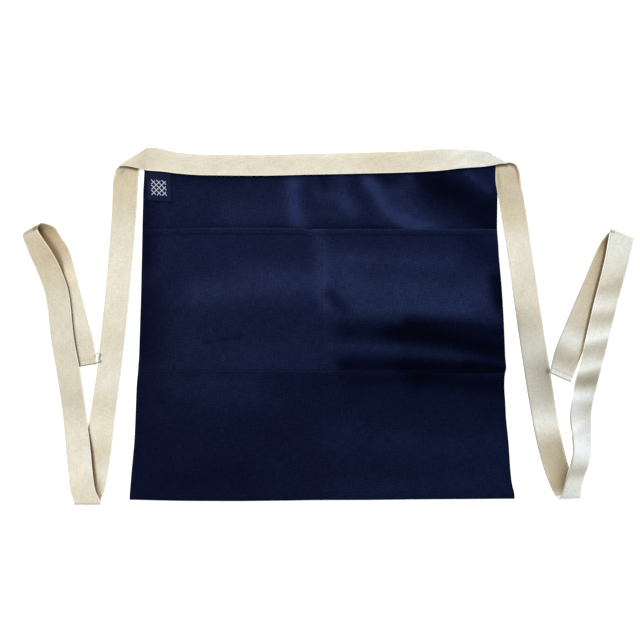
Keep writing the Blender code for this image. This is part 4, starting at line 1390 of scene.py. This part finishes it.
def thread_material(name, colour, roughness, gloss=0.3):
    """Sewing thread with fine twist marks."""
    material, tree, shader, flat = cloth_shader(name)
    twist = noise(tree, flat, (1500, 1500), 1.0)
    dark, pale = (tuple(min(1.0, c * part) for c in colour) for part in (0.8, 1.15))
    fill(tree, shader, {
        "Base Color": mix_colour(tree, twist, dark, pale),
        "Roughness": scaled(tree, twist, 0.1, roughness),
        "Specular IOR Level": gloss,
        "Normal": relief(tree, (twist, 0.0002, 0.4)),
    })
    return material


def label_weave(name):
    """Fine satin ribbon weave in a bluer navy."""
    material, tree, shader, flat = cloth_shader(name)
    ribs = weave(tree, flat, 0.0004, 0.0011)
    slubs = noise(tree, flat, (1300, 160))
    amount = scaled(tree, slubs, 0.6, maths(tree, "MULTIPLY", ribs, 0.3), clamp=True)
    fill(tree, shader, {
        "Base Color": mix_colour(tree, amount, (0.0030, 0.0045, 0.020), (0.0080, 0.0120, 0.048)),
        "Roughness": scaled(tree, slubs, 0.15, 0.40),
        "Specular IOR Level": 0.12,
        "Specular Tint": (0.40, 0.55, 1.0),
        "Normal": relief(tree, (ribs, 0.00015, 0.6)),
    })
    return material


def floor_material():
    """White paper that the light saturates."""
    material = bpy.data.materials.new("white_floor")
    material.use_nodes = True
    fill(material.node_tree, material.node_tree.nodes["Principled BSDF"], {
        "Base Color": (0.92, 0.92, 0.92),
        "Roughness": 0.9,
        "Specular IOR Level": 0.0,
        "Emission Color": (1.0, 1.0, 1.0),
        "Emission Strength": 0.42,
    })
    return material


def add_object(name, data):
    obj = bpy.data.objects.new(name, data)
    bpy.context.scene.collection.objects.link(obj)
    return obj


def camera():
    data = bpy.data.cameras.new("camera")
    data.sensor_width = SENSOR_WIDTH
    data.lens = SENSOR_WIDTH * CAMERA_HEIGHT / VIEW_WIDTH
    data.clip_end = 20
    obj = add_object("camera", data)
    obj.location = (PLACE.x + VIEW_CENTRE[0], PLACE.y + VIEW_CENTRE[1], CAMERA_HEIGHT)
    bpy.context.scene.camera = obj


def area_light(name, azimuth, elevation, distance, size, power):
    """A square soft light on the apron's middle. Azimuth 0 is on the +X side and 90 on the +Y side."""
    data = bpy.data.lights.new(name, "AREA")
    data.size = size
    data.energy = power
    obj = add_object(name, data)
    a, e = math.radians(azimuth), math.radians(elevation)
    way = Vector((math.cos(a) * math.cos(e), math.sin(a) * math.cos(e), math.sin(e)))
    obj.location = way * distance
    obj.rotation_mode = "QUATERNION"
    obj.rotation_quaternion = way.to_track_quat("Z", "Y")


def studio():
    """White floor, pale surroundings, a window-like key light and a broad overhead light."""
    mesh = bpy.data.meshes.new("floor")
    corners = [(x * FLOOR_REACH, y * FLOOR_REACH, 0) for x, y in ((-1, -1), (1, -1), (1, 1), (-1, 1))]
    mesh.from_pydata(corners, [], [(0, 1, 2, 3)])
    mesh.materials.append(floor_material())
    floor = add_object("floor", mesh)
    floor.location = (0, 0, CAD_BOX[0].z - FLOOR_DROP)
    world = bpy.data.worlds.new("world")
    world.use_nodes = True
    fill(world.node_tree, world.node_tree.nodes["Background"], {"Color": (1, 1, 1), "Strength": WORLD_LIGHT})
    bpy.context.scene.world = world
    area_light("key", azimuth=118, elevation=46, distance=4.6, size=2.4, power=132)
    area_light("overhead", azimuth=90, elevation=82, distance=3.4, size=2.6, power=28)
    bpy.context.scene.view_settings.view_transform = "Standard"
    bpy.context.scene.view_settings.look = "None"


def build():
    skirt_thread = thread_material("navy_thread", (0.0032, 0.0050, 0.0200), 0.65, 0.04)
    tape_thread = thread_material("cream_thread", (0.74, 0.70, 0.60), 0.7)
    label_thread = thread_material("pale_label_thread", (0.56, 0.60, 0.72), 0.55)
    skirt = skirt_cloth(navy_canvas("navy_canvas_skirt", SKIRT_PALE))
    pocket = pocket_cloth(navy_canvas("navy_canvas_pocket", POCKET_PALE))
    tape = cream_tape()
    band = waistband_tape(tape)
    left, left_stitches = tie_tape("left_tie_tape", -1, LEFT, tape, tape_thread)
    right, right_stitches = tie_tape("right_tie_tape", 1, RIGHT, tape, tape_thread)
    # Dark brown: the loose thread together with its painted shadow
    frayed = loose_thread(thread_material("brown_thread", (0.22, 0.17, 0.11), 0.8))
    ribbon = label_ribbon(label_weave("label_satin"))
    skirt_sewing = skirt_stitches(skirt_thread)
    pocket_sewing = pocket_stitches(skirt_thread)
    band_sewing = band_stitches(tape_thread)
    lattice = lattice_threads(label_thread)
    stand_for = (
        (skirt, "skirt_panel", "navy_canvas", skirt_sewing),
        (pocket, "pocket_panel", "navy_canvas", pocket_sewing),
        (band, "waistband", "cream_tape", band_sewing),
        (left, "left_tie", "cream_tape", left_stitches),
        (right, "right_tie", "cream_tape", right_stitches),
        (ribbon, "label", "label_weave", lattice),
    )
    for piece, node, slot, sewing in stand_for:
        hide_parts(node)


camera()
studio()
build()
